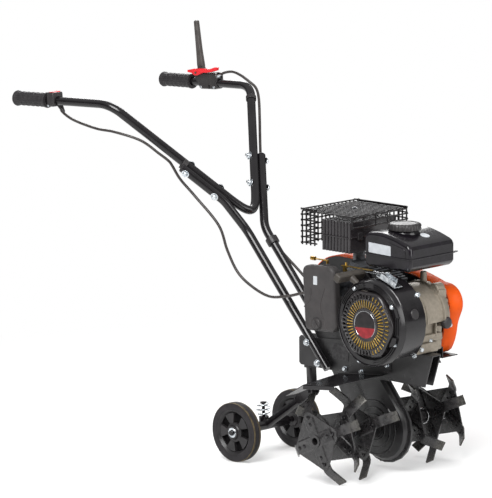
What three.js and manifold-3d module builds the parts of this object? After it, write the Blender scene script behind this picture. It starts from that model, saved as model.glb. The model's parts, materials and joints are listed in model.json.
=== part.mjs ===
// Petrol garden tiller with belt clutch, chain case, six bolted tine stars and two transport wheels.
// Millimetres, +Z up, +X to the machine's left, travel towards -Y, floor at Z = 0.
// The Y origin is at the middle of the overall length, a little ahead of the wheel axle.
import * as THREE from 'three';
import { mergeVertices } from 'three/addons/utils/BufferGeometryUtils.js';
import Module from 'manifold-3d';

const wasm = await Module();
wasm.setup();

// General clearances
const SEAT_GAP = 0.3;
const CUT_OVERRUN = 2;
const FUSE = 0.6;
const MERGE_TOLERANCE = 0.02;
const RIGHT = -1;
const LEFT = 1;

// Places below are measured from the wheel axle, which stands this far behind the middle
const AXLE_FROM_MIDDLE = 18.1;

// Place of the machine frame: its origin is the tine shaft, and it stands a little nose-down
const TINE_SHAFT_Y = -387;
const TINE_SHAFT_HEIGHT = 111;
const PITCH = THREE.MathUtils.degToRad(3);

// Tine shaft and stars
const SHAFT_RADIUS = 9;
const SHAFT_LENGTH = 424;
const TINE_OFFSET = 6;
const STAR_OUTER_X = 226;
const STAR_MIDDLE_X = 161;
const STAR_INNER_X = 88;
// The square plate points its cut corners along the blades, which a pressed cross stiffens
const STAR_PLATE = { size: 112, corner: 14, thickness: 4 };
const STAR_CROSS = { width: 36, height: 3, chamfer_share: 0.12 };
const BLADE = { root: 20, bend: 76, width: 25, thickness: 4.5, steps: 2, curl: 16 };
const BLADE_BEND = THREE.MathUtils.degToRad(43);
const HUB = { radius: 15, outer: 24, middle: 62, inner: 56, proud: 5 };
const NEAR_PHASE_DEGREES = 26;
const CROSS_PHASE_DEGREES = 60;
// The lowest blade stands this far round from straight down, and its corner meets the floor
const FLOOR_LEAN = THREE.MathUtils.degToRad(NEAR_PHASE_DEGREES) - PITCH;
const STAR_REACH = (TINE_SHAFT_HEIGHT - (BLADE.width / 2) * Math.sin(FLOOR_LEAN)) / Math.cos(FLOOR_LEAN);

// Chain case
const CASE = { low_radius: 86, top_radius: 66, low_y: -22, half: 16.6, wall: 2.2, rim: 7, rim_half: 3.2 };
const CASE_DISH = { bevel: 6, hub_radius: 24, hub_proud: 5 };
const INPUT_Y = 180;
const INPUT_Z = 278;
const INPUT_SHAFT = { radius: 9, low_x: -12, high_x: 101 };
const SPROCKET = { small: 16, large: 42, tooth: 5, width: 6, small_teeth: 7, large_teeth: 17 };
const TOOTH_SHARES = { root: 0.3, tip: 0.1 };
const CHAIN = { thickness: 5, width: 7, links: 24, seat: 1.2 };

// Chassis
const SIDE_PLATE = { x: 17, thickness: 3, rear: 251, front: -60, low: 122, high: 208, corner: 6 };
const SIDE_PLATE_EAR = { rear: 251, front: 196, high: 196 };
const BED = { notch: 22, half: 50, top: 212, thickness: 3.6, front: -214, rear: 62 };
const BED_SKIRT = { rear: -14, low: 130, nose_back: 26, rear_height: 24 };
const GUARD_WING = { inner: 52, outer: 228, thickness: 2.5, front: -64, rear_out: 38, rear_in: 84 };
const GUARD_HEIGHT = { front: 143, rear: 131, lip: 16, flap_drop: 34, flap_run: 58, flap_in: 130 };

// Rear post and transport wheels, in the floor frame
const WHEEL = { radius: 75, width: 27, track: 214, rim: 56, hub: 17, web: 7, hub_width: 34 };
const WHEEL_WINDOW = { count: 5, inner: 24, outer: 49, open_share: 0.62 };
const TYRE_SHOULDER = { height: 4.8, width: 5.4 };
const AXLE = { radius: 6, length: 258, carrier_radius: 12, carrier_length: 150 };
const POST = { width: 18, y: -165, low: 166, high: 300, head: 62 };
const ARM = { radius: 11, pivot_z: 178, fork: 26, fork_plate: 4, fork_length: 30 };
const LATCH = { y: 9, pin_radius: 4, height: 46, head_radius: 8, head: 4, seat: 9 };
const LATCH_LOW = WHEEL.radius + AXLE.carrier_radius;
const SPRING = { radius: 12, wire: 1.2, turns: 4, pitch: 7, steps: 8, sides: 5 };

// Handlebar, in the floor frame
const TUBE = { radius: 11, sides: 10 };
const GRIP = { radius: 18.4, flange: 20, flange_width: 4, length: 116, ribs: 4, rib: 1.2 };
const GRIP_RIB_SHARES = { rise: 0.2, crest: 0.7 };
const HANDLE_END = { x: 259, y: 588, z: 906 };
const HANDLE_ELBOW = { x: 248, y: 252, z: 900, radius: 70 };
const HANDLE_FOOT = { x: 50, y: 54, z: 657, pull: 78 };
const LOWER_OFFSET_DIRECTION = new THREE.Vector3(-0.86, 0.36, 0.36).normalize();
const LOWER_START_SHARE = 0.36;
const LOWER_ELBOW = { x: 31, y: 7.5, z: 572, radius: 90 };
const LOWER_END = { x: 31, y: -252, z: 245 };
const BOLT = { radius: 4, head: 6.5, head_height: 5, first: 15, spacing: 92, nut: 7 };

// Engine
const CRANK_Y = -117;
const CRANK_Z = 292.5;
const CRANKCASE = { low_x: -74.7, high_x: 46, radius: 78, base_front: -192, base_rear: -44, flange: 9 };
const CRANK_COVER = { radius: 66, low_x: 22, ring: 5 };
const CRANKSHAFT = { radius: 11, low_x: -140, high_x: 104 };
const CYLINDER = { tilt: 28, start: 80.3, end: 150, low_x: -55, high_x: 36, half: 42 };
const CYLINDER_FINS = { count: 8, depth: 9 };
const HEAD = { end: 182, cover_end: 200, half: 34, cover_half: 27, inset: 6 };
const TANK_POST = { radius: 7, x: -38, y: -178 };
const SHROUD = { radius: 106, wall: 3, low_x: -150, high_x: -75, mouth: 84, flat: 215.5 };
const SHROUD_DUCT = { low_x: -88, high_x: -58, reach: 142, half: 52 };
const RECOIL = { radius: 84, lobe: 4.5, lobes: 6, low_x: -172, bevel: 5, wall: 3, cavity: 72, badge: 36 };
const RECOIL_SLOT = { count: 20, inner: 46, outer: 62, width: 3.4 };
const FLYWHEEL = { radius: 90, low_x: -140, disc: 5, blade: 20, blades: 7, blade_width: 4, hub: 22 };
const FLYWHEEL_BLADE = { inner: 54, outer: 87.3 };
const STARTER = { x: -152, grip_y: -41, grip_z: 406, length: 94, radius: 10.5, neck: 7, neck_length: 22 };
const STARTER_PULL = THREE.MathUtils.degToRad(30);
const ROPE_RADIUS = 2;
const OIL_CAP = { x: 28, radius: 15, length: 13, neck: 9, neck_length: 8, drop: 14 };

// Fuel tank
const TANK = { low_x: -98, high_x: 60, rear: -42, front: -191, low: 414.7, seam: 446, rear_top: 488 };
const TANK_TOP = { crown: 499, front_top: 479, bevel: 9, flange: 3.5, flange_height: 4 };
const TANK_SHOULDER = { y: -150, z: 490.5 };
const FUEL_CAP = { x: -24, y: -106, radius: 40, height: 17, neck: 33, neck_height: 6, lobes: 14, grip: 1.6 };

// Muffler and its guard net
const MUFFLER = { low_x: -74, high_x: 92, front: 27, rear: 122, low: 432, high: 508, bevel: 7 };
const MUFFLER_RIBS = { count: 7, depth: 4 };
const MUFFLER_PORT = { x: -8, y: 58, radius: 15 };
const NET = { low_x: -96, high_x: 101, front: -2, rear: 168, top: 529, drop: 86 };
const NET_WIRE = { bar: 3.4, near_run: 52 };
const NET_COUNT = { across: 9, along: 7, down: 4, near: 2 };
const NET_FOOT = { radius: 6, washer: 15 };

// Air cleaner and carburettor
const CLEANER = { low_x: -150, high_x: -106, front: 11, rear: 109, low: 248, high: 408 };
const CLEANER_EDGE = { corner: 17, bevel: 9 };
const CLEANER_LEAN = THREE.MathUtils.degToRad(3.4);
const CLEANER_BASE = { depth: 15, inset: 14 };
const CLEANER_KNOB = { y: 66, z: 267, radius: 16, height: 7, bar: 6, bar_height: 4.5 };
const CARBURETTOR = { duct_gap: 19, offset: -18, radius: 17, bowl_radius: 15, bowl_drop: 30 };
const CHOKE = { x: -90, y: 86, radius: 3, above: 5, arm: 44, arm_width: 5, arm_height: 3 };
const CHOKE_TOWER = { radius: 6, drop: 12, seat: 8 };
const CHOKE_KNOB = { radius: 5.2, length: 10 };

// Belt drive on the left
const PULLEY = { drive: 36, driven: 100, width: 22, low_x: 76, groove: 9, groove_width: 15 };
const BELT = { thickness: 9, width: 12, seat: 1.6 };
const BELT_GUARD = { low_x: 57.3, high_x: 112, wall: 2.2, lobe_rear: 115, lobe_front: 98, bevel: 7 };
const BELT_GUARD_FRONT = { y: -103, z: 283, low_y: -157, low_z: 193 };
const BELT_GUARD_FOOT = { cheek: 9, cheek_rise: 34, sole_rear_y: -54, sole_drop: 8, keep_y: -15 };
const BACK_PLATE = { thickness: 2.5, hole: 30, lip: 50, lip_thickness: 2.5, hem: 26, tab: 4 };
const IDLER = { pivot_y: 60, pivot_z: 190, pulley_y: -12, radius: 17, gap: 7.5 };
const IDLER_ARM = { width: 14, thickness: 5 };

// Controls on the handlebar
const GRIP_INNER_Y = HANDLE_END.y - GRIP.length;
const SWITCH_BOX = { grip_gap: 11, length: 25, half: 18, above: 22, below: 14, corner: 4.5, bevel: 3 };
const ROCKER = { length: 27, width: 14, height: 6, play: 1 };
const ROCKER_SHARES = { high_end: 0.9, dip: 0.6, low_end: 0.7 };
const LEVER_CLAMP = { grip_gap: 36, length: 68, half: 14, above: 27, below: 16, corner: 8, bevel: 2.8 };
const CLAMP_SPLIT = { from_rear: 40, width: 5 };
const LEVER = { grip_gap: 37, root: 22, tip: 11, thickness: 11, height: 130, lean: 11, pivot: 7 };
const LEVER_Y = GRIP_INNER_Y - LEVER.grip_gap;
const CATCH = { length: 110, width: 9, height: 7, behind_pivot: 30 };
// The catch from its rear end forwards, in shares of its length and height
const CATCH_TOP_SHARES = [
  [0, 0.9], [0.12, 1.2], [0.24, 1.5], [0.58, 1.6], [0.73, 1.4], [0.94, 2.3], [1, 2.2],
];
const CATCH_LOW_SHARES = [
  [0.98, 1.1], [0.77, 0.4], [0.62, 0.1], [0.52, 0.2], [0.38, -0.6],
  [0.31, -1], [0.22, -1], [0.14, -0.2], [0, 0.1],
];
const CABLE_RADIUS = 2.5;
const CABLE_SIDES = 7;

// Routes of the two control cables, chosen by eye along the tubes that hold them
const STOP_ROUTE = [
  [-243, 440, 888], [-243, 436, 874.8], [-243, 394, 855], [-242, 314, 837], [-236, 253, 830],
  [-205, 193, 808], [-166, 170, 772], [-146, 158, 752], [-134, 158, 738], [-118, 148, 703],
  [-104, 113, 661], [-88, 50, 590], [-81, 30, 527], [-75, 2, 472], [-70, -43, 438],
  [-65, -95, 418], [-62, -150, 422], [-64, -205, 434], [-66, -250, 444],
];
const CLUTCH_ROUTE = [
  [246, 358, 926], [246, 338, 932], [246, 312, 934], [247, 286, 926], [250, 262, 912],
  [253, 238, 894], [240, 216, 868], [214, 190, 822], [184, 162, 774], [148, 127, 722],
  [108, 84, 668], [78, 50, 610], [54, 14, 548], [48, -29, 514], [48, -97, 462],
  [50, -148, 418], [51.7, -195, 380], [51.7, -240, 350],
];

// Colours and finishes
const FINISH = {
  black_enamel: { color: 0x17181a, roughness: 0.32, metalness: 0.1 },
  tine_paint: { color: 0x3b3a38, roughness: 0.5, metalness: 0.25 },
  moulded_plastic: { color: 0x3d3d3f, roughness: 0.6, metalness: 0 },
  gloss_plastic: { color: 0x141416, roughness: 0.22, metalness: 0 },
  orange_enamel: { color: 0xe8601c, roughness: 0.35, metalness: 0 },
  cast_aluminium: { color: 0xa9a49a, roughness: 0.55, metalness: 0.75 },
  zinc: { color: 0xc8ccd0, roughness: 0.3, metalness: 0.9 },
  brass: { color: 0xb08a3c, roughness: 0.35, metalness: 0.9 },
  rubber: { color: 0x232323, roughness: 0.85, metalness: 0 },
  red_plastic: { color: 0xd5232b, roughness: 0.4, metalness: 0 },
  steel: { color: 0x8d9094, roughness: 0.4, metalness: 0.85 },
};

// Mesh and solid helpers
function finish(name) {
  return new THREE.MeshStandardMaterial(FINISH[name]);
}

function bare(geometry) {
  const copy = geometry.clone();
  copy.deleteAttribute('normal');
  copy.deleteAttribute('uv');
  return mergeVertices(copy, 1e-4);
}

function solid(geometry) {
  const merged = bare(geometry);
  return new wasm.Manifold(new wasm.Mesh({
    numProp: 3,
    vertProperties: new Float32Array(merged.attributes.position.array),
    triVerts: new Uint32Array(merged.index.array),
  }));
}

// A many-sided bore is drawn round its true circle, so that a turning shaft clears its flats
function bored(radius, sides) {
  return (radius + SEAT_GAP) / Math.cos(Math.PI / sides);
}

function geometryOf(manifold) {
  const mesh = manifold.asOriginal().simplify(MERGE_TOLERANCE).getMesh();
  const geometry = new THREE.BufferGeometry();
  geometry.setAttribute('position', new THREE.BufferAttribute(new Float32Array(mesh.vertProperties), 3));
  geometry.setIndex(new THREE.BufferAttribute(new Uint32Array(mesh.triVerts), 1));
  return geometry;
}

function fuse(geometries) {
  return geometries.map(solid).reduce((sum, next) => sum.add(next));
}

function shaped(geometries, cuts = []) {
  let body = fuse(geometries);
  for (const cut of cuts) {
    body = body.subtract(solid(cut));
  }
  return geometryOf(body);
}

function piece(parent, name, geometry, finishName) {
  const mesh = new THREE.Mesh(geometry, finish(finishName));
  mesh.name = name;
  parent.add(mesh);
  return mesh;
}

// A shape drawn in (y, z) becomes a slab between two X stations
function slabX(shape, lowX, highX, options = {}) {
  const bevel = options.bevel ?? 0;
  const geometry = new THREE.ExtrudeGeometry(shape, {
    depth: highX - lowX - 2 * bevel,
    bevelEnabled: bevel > 0,
    bevelThickness: bevel,
    bevelSize: bevel,
    bevelOffset: -bevel,
    bevelSegments: options.bevelSegments ?? 2,
    curveSegments: options.curveSegments ?? 8,
  });
  const turn = new THREE.Matrix4().set(0, 0, 1, lowX + bevel, 1, 0, 0, 0, 0, 1, 0, 0, 0, 0, 0, 1);
  geometry.applyMatrix4(turn);
  return geometry;
}

// A shape drawn in (x, y) becomes a slab between two heights
function slabZ(shape, lowZ, highZ, options = {}) {
  const bevel = options.bevel ?? 0;
  const geometry = new THREE.ExtrudeGeometry(shape, {
    depth: highZ - lowZ - 2 * bevel,
    bevelEnabled: bevel > 0,
    bevelThickness: bevel,
    bevelSize: bevel,
    bevelOffset: -bevel,
    bevelSegments: options.bevelSegments ?? 2,
    curveSegments: options.curveSegments ?? 8,
  });
  geometry.translate(0, 0, lowZ + bevel);
  return geometry;
}

function rodX(y, z, radius, lowX, highX, sides = 24) {
  const geometry = new THREE.CylinderGeometry(radius, radius, highX - lowX, sides);
  geometry.rotateZ(-Math.PI / 2);
  geometry.translate((lowX + highX) / 2, y, z);
  return geometry;
}

function rodZ(x, y, radius, lowZ, highZ, sides = 20) {
  const geometry = new THREE.CylinderGeometry(radius, radius, highZ - lowZ, sides);
  geometry.rotateX(Math.PI / 2);
  geometry.translate(x, y, (lowZ + highZ) / 2);
  return geometry;
}

function rodBetween(from, to, radius, sides = 12) {
  const along = new THREE.Vector3().subVectors(to, from);
  const geometry = new THREE.CylinderGeometry(radius, radius, along.length(), sides);
  const up = new THREE.Vector3(0, 1, 0);
  geometry.applyQuaternion(new THREE.Quaternion().setFromUnitVectors(up, along.clone().normalize()));
  const middle = new THREE.Vector3().addVectors(from, to).multiplyScalar(0.5);
  geometry.translate(middle.x, middle.y, middle.z);
  return geometry;
}

function block(lowX, highX, lowY, highY, lowZ, highZ) {
  const geometry = new THREE.BoxGeometry(highX - lowX, highY - lowY, highZ - lowZ);
  geometry.translate((lowX + highX) / 2, (lowY + highY) / 2, (lowZ + highZ) / 2);
  return geometry;
}

// A profile of (radius, x) points turned about the X axis through (y, z)
function turnedX(profile, y, z, segments = 32) {
  const points = profile.map(([radius, x]) => new THREE.Vector2(radius, x));
  const geometry = new THREE.LatheGeometry(points, segments);
  geometry.applyMatrix4(new THREE.Matrix4().set(0, 1, 0, 0, 1, 0, 0, y, 0, 0, -1, z, 0, 0, 0, 1));
  return geometry;
}

function polygon(points) {
  return new THREE.Shape(points.map(([a, b]) => new THREE.Vector2(a, b)));
}

function roundedBox(lowA, highA, lowB, highB, radius) {
  const shape = new THREE.Shape();
  shape.moveTo(lowA + radius, lowB);
  shape.lineTo(highA - radius, lowB);
  shape.absarc(highA - radius, lowB + radius, radius, -Math.PI / 2, 0);
  shape.lineTo(highA, highB - radius);
  shape.absarc(highA - radius, highB - radius, radius, 0, Math.PI / 2);
  shape.lineTo(lowA + radius, highB);
  shape.absarc(lowA + radius, highB - radius, radius, Math.PI / 2, Math.PI);
  shape.lineTo(lowA, lowB + radius);
  shape.absarc(lowA + radius, lowB + radius, radius, Math.PI, 1.5 * Math.PI);
  return shape;
}

function disc(a, b, radius) {
  const shape = new THREE.Shape();
  shape.absarc(a, b, radius, 0, 2 * Math.PI);
  return shape;
}

// The outline round two discs, as points: an open-belt loop of two radii
function loopPoints(first, firstRadius, second, secondRadius, steps) {
  const dy = second.y - first.y;
  const dz = second.z - first.z;
  const heading = Math.atan2(dz, dy);
  const spread = Math.acos((firstRadius - secondRadius) / Math.hypot(dy, dz));
  const points = [];
  for (let i = 0; i <= steps; i += 1) {
    const angle = heading + spread + (2 * Math.PI - 2 * spread) * (i / steps);
    points.push([first.y + firstRadius * Math.cos(angle), first.z + firstRadius * Math.sin(angle)]);
  }
  for (let i = 0; i <= steps; i += 1) {
    const angle = heading - spread + 2 * spread * (i / steps);
    points.push([second.y + secondRadius * Math.cos(angle), second.z + secondRadius * Math.sin(angle)]);
  }
  return points;
}

// A path that places the rings of a tube exactly at the given stations
class StationPath extends THREE.Curve {
  constructor(stations) {
    super();
    this.stations = stations;
  }

  getPoint(t, target = new THREE.Vector3()) {
    const last = this.stations.length - 1;
    const at = Math.min(t * last, last);
    const index = Math.min(Math.floor(at), last - 1);
    return target.lerpVectors(this.stations[index], this.stations[index + 1], at - index);
  }

  getPointAt(u, target) {
    return this.getPoint(u, target);
  }

  getTangentAt(u, target = new THREE.Vector3()) {
    const last = this.stations.length - 1;
    const index = Math.round(u * last);
    const before = this.stations[Math.max(index - 1, 0)];
    const here = this.stations[index];
    const after = this.stations[Math.min(index + 1, last)];
    const into = new THREE.Vector3().subVectors(here, before).normalize();
    const out = new THREE.Vector3().subVectors(after, here).normalize();
    return target.addVectors(into, out).normalize();
  }
}

function ringShape(radius, sides) {
  const points = [];
  for (let i = 0; i < sides; i += 1) {
    const angle = (2 * Math.PI * i) / sides;
    points.push([radius * Math.cos(angle), radius * Math.sin(angle)]);
  }
  return polygon(points);
}

function tubeAlong(stations, radius, sides) {
  const path = new StationPath(stations);
  return new THREE.ExtrudeGeometry(ringShape(radius, sides), {
    steps: stations.length - 1,
    extrudePath: path,
    bevelEnabled: false,
  });
}

// The stations of a bend: straight into and out of a corner, with a round of the given radius
function bendStations(before, corner, after, radius, steps) {
  const into = new THREE.Vector3().subVectors(corner, before).normalize();
  const out = new THREE.Vector3().subVectors(after, corner).normalize();
  const turn = Math.acos(THREE.MathUtils.clamp(into.dot(out), -1, 1));
  const tangent = radius * Math.tan(turn / 2);
  const start = corner.clone().addScaledVector(into, -tangent);
  const normal = out.clone().addScaledVector(into, -into.dot(out)).normalize();
  const stations = [];
  for (let i = 0; i <= steps; i += 1) {
    const angle = turn * (i / steps);
    const point = start.clone().addScaledVector(into, radius * Math.sin(angle));
    stations.push(point.addScaledVector(normal, radius * (1 - Math.cos(angle))));
  }
  return stations;
}

function smoothStations(route, count) {
  const curve = new THREE.CatmullRomCurve3(route.map(([x, y, z]) => new THREE.Vector3(x, y, z)));
  return curve.getSpacedPoints(count);
}

// Tine stars
function bladeGeometry(angle, tipSide) {
  const centre = [];
  const arc = BLADE.curl / BLADE_BEND;
  const straight = BLADE.bend - BLADE.curl / 2;
  centre.push([BLADE.root, 0, 0]);
  for (let i = 0; i <= BLADE.steps; i += 1) {
    const turn = BLADE_BEND * (i / BLADE.steps);
    centre.push([straight + arc * Math.sin(turn), arc * (1 - Math.cos(turn)), turn]);
  }
  const half = BLADE.thickness / 2;
  const [endRadius, endX] = centre[centre.length - 1];
  const tipRadius = STAR_REACH - half * Math.sin(BLADE_BEND);
  const tipLength = (tipRadius - endRadius) / Math.cos(BLADE_BEND);
  centre.push([tipRadius, endX + tipLength * Math.sin(BLADE_BEND), BLADE_BEND]);
  const upper = centre.map(([r, x, turn]) => [r - half * Math.sin(turn), x + half * Math.cos(turn)]);
  const lower = centre.map(([r, x, turn]) => [r + half * Math.sin(turn), x - half * Math.cos(turn)]);
  const outline = polygon([...lower, ...upper.reverse()]);
  const strip = new THREE.ExtrudeGeometry(outline, { depth: BLADE.width, bevelEnabled: false });
  strip.translate(0, 0, -BLADE.width / 2);
  // The strip's own axes are radial, sideways and tangential
  const radial = new THREE.Vector3(0, -Math.cos(angle), Math.sin(angle));
  const sideways = new THREE.Vector3(tipSide, 0, 0);
  const tangential = new THREE.Vector3().crossVectors(radial, sideways);
  strip.applyMatrix4(new THREE.Matrix4().makeBasis(radial, sideways, tangential));
  return strip;
}

function crossRibs(faceX, outward) {
  const ribs = [];
  const half = STAR_CROSS.width / 2;
  const narrow = half - STAR_CROSS.width * STAR_CROSS.chamfer_share;
  const height = STAR_CROSS.height;
  const reach = STAR_PLATE.size / Math.SQRT2 - half - STAR_PLATE.thickness;
  const profile = polygon([[-half, 0], [half, 0], [narrow, height], [-narrow, height]]);
  for (let i = 0; i < 2; i += 1) {
    const rib = new THREE.ExtrudeGeometry(profile, { depth: 2 * reach, bevelEnabled: false });
    rib.translate(0, 0, -reach);
    const across = new THREE.Vector3(0, i === 0 ? 0 : 1, i === 0 ? 1 : 0);
    const up = new THREE.Vector3(outward, 0, 0);
    const along = new THREE.Vector3().crossVectors(across, up);
    rib.applyMatrix4(new THREE.Matrix4().makeBasis(across, up, along));
    rib.translate(faceX - outward * FUSE, 0, 0);
    ribs.push(rib);
  }
  return ribs;
}

// side: which half of the shaft; tips: +1 where a blade's tip leans to +X
function tineStar(parent, name, side, distance, phaseDegrees, tips, hubLength) {
  const plateX = TINE_OFFSET + side * distance;
  const phase = THREE.MathUtils.degToRad(phaseDegrees);
  const plate = roundedBox(
    -STAR_PLATE.size / 2, STAR_PLATE.size / 2, -STAR_PLATE.size / 2, STAR_PLATE.size / 2, STAR_PLATE.corner,
  );
  const half = STAR_PLATE.thickness / 2;
  const plateSlab = slabX(plate, -half, half, { curveSegments: 1 });
  plateSlab.rotateX(Math.PI / 4);
  const parts = [plateSlab, ...crossRibs(side * half, side)];
  const bladeX = -side * (half + BLADE.thickness / 2 - FUSE);
  for (const geometry of parts) {
    geometry.rotateX(-phase);
  }
  tips.forEach((tip, index) => {
    const blade = bladeGeometry(phase + (index * Math.PI) / 2, tip);
    blade.translate(bladeX, 0, 0);
    parts.push(blade);
  });
  const hubOut = side * (half + HUB.proud);
  const hubIn = side * (half + HUB.proud - hubLength);
  parts.push(rodX(0, 0, HUB.radius, Math.min(hubOut, hubIn), Math.max(hubOut, hubIn), 12));
  const bore = rodX(0, 0, SHAFT_RADIUS + SEAT_GAP, -hubLength - CUT_OVERRUN, hubLength + CUT_OVERRUN, 12);
  const geometry = shaped(parts, [bore]);
  geometry.translate(plateX, 0, 0);
  piece(parent, name, geometry, 'tine_paint');
}

function tineStars(parent) {
  const near = NEAR_PHASE_DEGREES;
  const cross = CROSS_PHASE_DEGREES;
  const sides = [
    { side: RIGHT, word: 'right', phases: [near, cross, near] },
    { side: LEFT, word: 'left', phases: [cross, near, cross] },
  ];
  for (const { side, word, phases } of sides) {
    const into = -side;
    const inward = [into, into, into, into];
    const mixed = [into, -into, into, -into];
    const mixedMiddle = side === RIGHT ? mixed : [-into, into, -into, into];
    tineStar(parent, `tine_outer_${word}`, side, STAR_OUTER_X, phases[0], inward, HUB.outer);
    tineStar(parent, `tine_middle_${word}`, side, STAR_MIDDLE_X, phases[1], mixedMiddle, HUB.middle);
    tineStar(parent, `tine_inner_${word}`, side, STAR_INNER_X, phases[2], mixed, HUB.inner);
  }
}

// Chain drive
function gearOutline(radius, tooth, teeth) {
  const points = [];
  const step = (2 * Math.PI) / teeth;
  const root = TOOTH_SHARES.root * step;
  const tip = TOOTH_SHARES.tip * step;
  const at = (reach, angle) => [reach * Math.cos(angle), reach * Math.sin(angle)];
  for (let i = 0; i < teeth; i += 1) {
    const middle = i * step;
    points.push(at(radius, middle - root), at(radius + tooth, middle - tip));
    points.push(at(radius + tooth, middle + tip), at(radius, middle + root));
  }
  return points;
}

function tineShaft(parent) {
  const low = TINE_OFFSET - SHAFT_LENGTH / 2;
  const bar = rodX(0, 0, SHAFT_RADIUS, low, low + SHAFT_LENGTH, 12);
  const teeth = gearOutline(SPROCKET.large, SPROCKET.tooth, SPROCKET.large_teeth);
  const wheel = slabX(polygon(teeth), -SPROCKET.width / 2, SPROCKET.width / 2);
  piece(parent, 'tine_shaft', shaped([bar, wheel]), 'steel');
}

function inputShaft(parent) {
  const bar = rodX(INPUT_Y, INPUT_Z, INPUT_SHAFT.radius, INPUT_SHAFT.low_x, INPUT_SHAFT.high_x, 12);
  const teeth = gearOutline(SPROCKET.small, SPROCKET.tooth, SPROCKET.small_teeth);
  const moved = teeth.map(([y, z]) => [y + INPUT_Y, z + INPUT_Z]);
  const wheel = slabX(polygon(moved), -SPROCKET.width / 2, SPROCKET.width / 2);
  const pulley = pulleyGeometry(INPUT_Y, INPUT_Z, PULLEY.driven, INPUT_SHAFT.radius, 18);
  piece(parent, 'input_shaft', shaped([bar, wheel, pulley]), 'steel');
}

function driveChain(parent) {
  const inner = SPROCKET.tooth + CHAIN.seat;
  const low = { y: 0, z: 0 };
  const high = { y: INPUT_Y, z: INPUT_Z };
  const hollow = loopPoints(low, SPROCKET.large + inner, high, SPROCKET.small + inner, CHAIN.links / 2);
  const reach = inner + CHAIN.thickness;
  const outer = loopPoints(low, SPROCKET.large + reach, high, SPROCKET.small + reach, CHAIN.links / 2);
  const shape = polygon(outer);
  shape.holes.push(new THREE.Path(hollow.map(([a, b]) => new THREE.Vector2(a, b))));
  piece(parent, 'drive_chain', geometryOf(solid(slabX(shape, -CHAIN.width / 2, CHAIN.width / 2))), 'steel');
}

function chainCaseHalf(parent, name, side) {
  const low = { y: CASE.low_y, z: 0 };
  const high = { y: INPUT_Y, z: INPUT_Z };
  const outline = (grow) => polygon(
    loopPoints(low, CASE.low_radius + grow, high, CASE.top_radius + grow, 10),
  );
  const near = side * (SEAT_GAP / 2);
  const face = side * CASE.half;
  const span = (a, b) => [Math.min(a, b), Math.max(a, b)];
  const dish = slabX(outline(-CASE.rim), ...span(-face, face), { bevel: CASE_DISH.bevel, bevelSegments: 1 });
  const rim = slabX(outline(0), ...span(near, side * CASE.rim_half));
  const hub = rodX(0, 0, CASE_DISH.hub_radius, ...span(near, side * (CASE.half + CASE_DISH.hub_proud)), 16);
  const hollowEnd = side * (CASE.half - CASE.wall);
  const hollow = slabX(outline(-CASE.rim - CASE.wall), ...span(-hollowEnd, hollowEnd), {
    bevel: CASE_DISH.bevel, bevelSegments: 1,
  });
  const away = block(
    ...span(near, -side * (CASE.half + CUT_OVERRUN)), -2 * INPUT_Z, 2 * INPUT_Z, -INPUT_Z, 2 * INPUT_Z,
  );
  const shaftHole = rodX(0, 0, bored(SHAFT_RADIUS, 12), -2 * CASE.half, 2 * CASE.half, 12);
  const cuts = [hollow, away, shaftHole];
  if (side === LEFT) {
    cuts.push(rodX(INPUT_Y, INPUT_Z, bored(INPUT_SHAFT.radius, 12), 0, 2 * CASE.half, 12));
  }
  piece(parent, name, shaped([dish, rim, hub], cuts), 'black_enamel');
}

// Chassis
function sidePlate(parent, name, side) {
  const x = side * SIDE_PLATE.x;
  const far = side * (SIDE_PLATE.x + SIDE_PLATE.thickness - SEAT_GAP);
  const { front, rear, low, high, corner } = SIDE_PLATE;
  const ear = SIDE_PLATE_EAR;
  const outline = polygon([
    [front, low + corner], [front + corner, low], [rear - corner, low], [rear, low + corner],
    [ear.rear, ear.high - corner], [ear.rear - corner, ear.high], [ear.front, ear.high],
    [BED.rear, high], [front, high],
  ]);
  const plate = slabX(outline, Math.min(x, far), Math.max(x, far));
  piece(parent, name, geometryOf(solid(plate)), 'black_enamel');
}

function engineBed(parent) {
  const low = BED.top - BED.thickness;
  const top = block(-BED.half, BED.half, BED.front, BED.rear, low, BED.top);
  const parts = [top];
  for (const side of [RIGHT, LEFT]) {
    const skirt = polygon([
      [BED.front, low + FUSE], [BED.front, low - BED.thickness],
      [BED.front + BED_SKIRT.nose_back, BED_SKIRT.low],
      [BED_SKIRT.rear, BED_SKIRT.low], [BED.rear, low - BED_SKIRT.rear_height], [BED.rear, low + FUSE],
    ]);
    const out = side * BED.half;
    const inn = side * (BED.half - BED.thickness);
    parts.push(slabX(skirt, Math.min(out, inn), Math.max(out, inn)));
  }
  const notchHalf = SIDE_PLATE.x;
  const notch = block(
    -notchHalf, notchHalf, BED.notch, BED.rear + CUT_OVERRUN, low - CUT_OVERRUN, BED.top + CUT_OVERRUN,
  );
  piece(parent, 'engine_bed', shaped(parts, [notch]), 'black_enamel');
}

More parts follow.
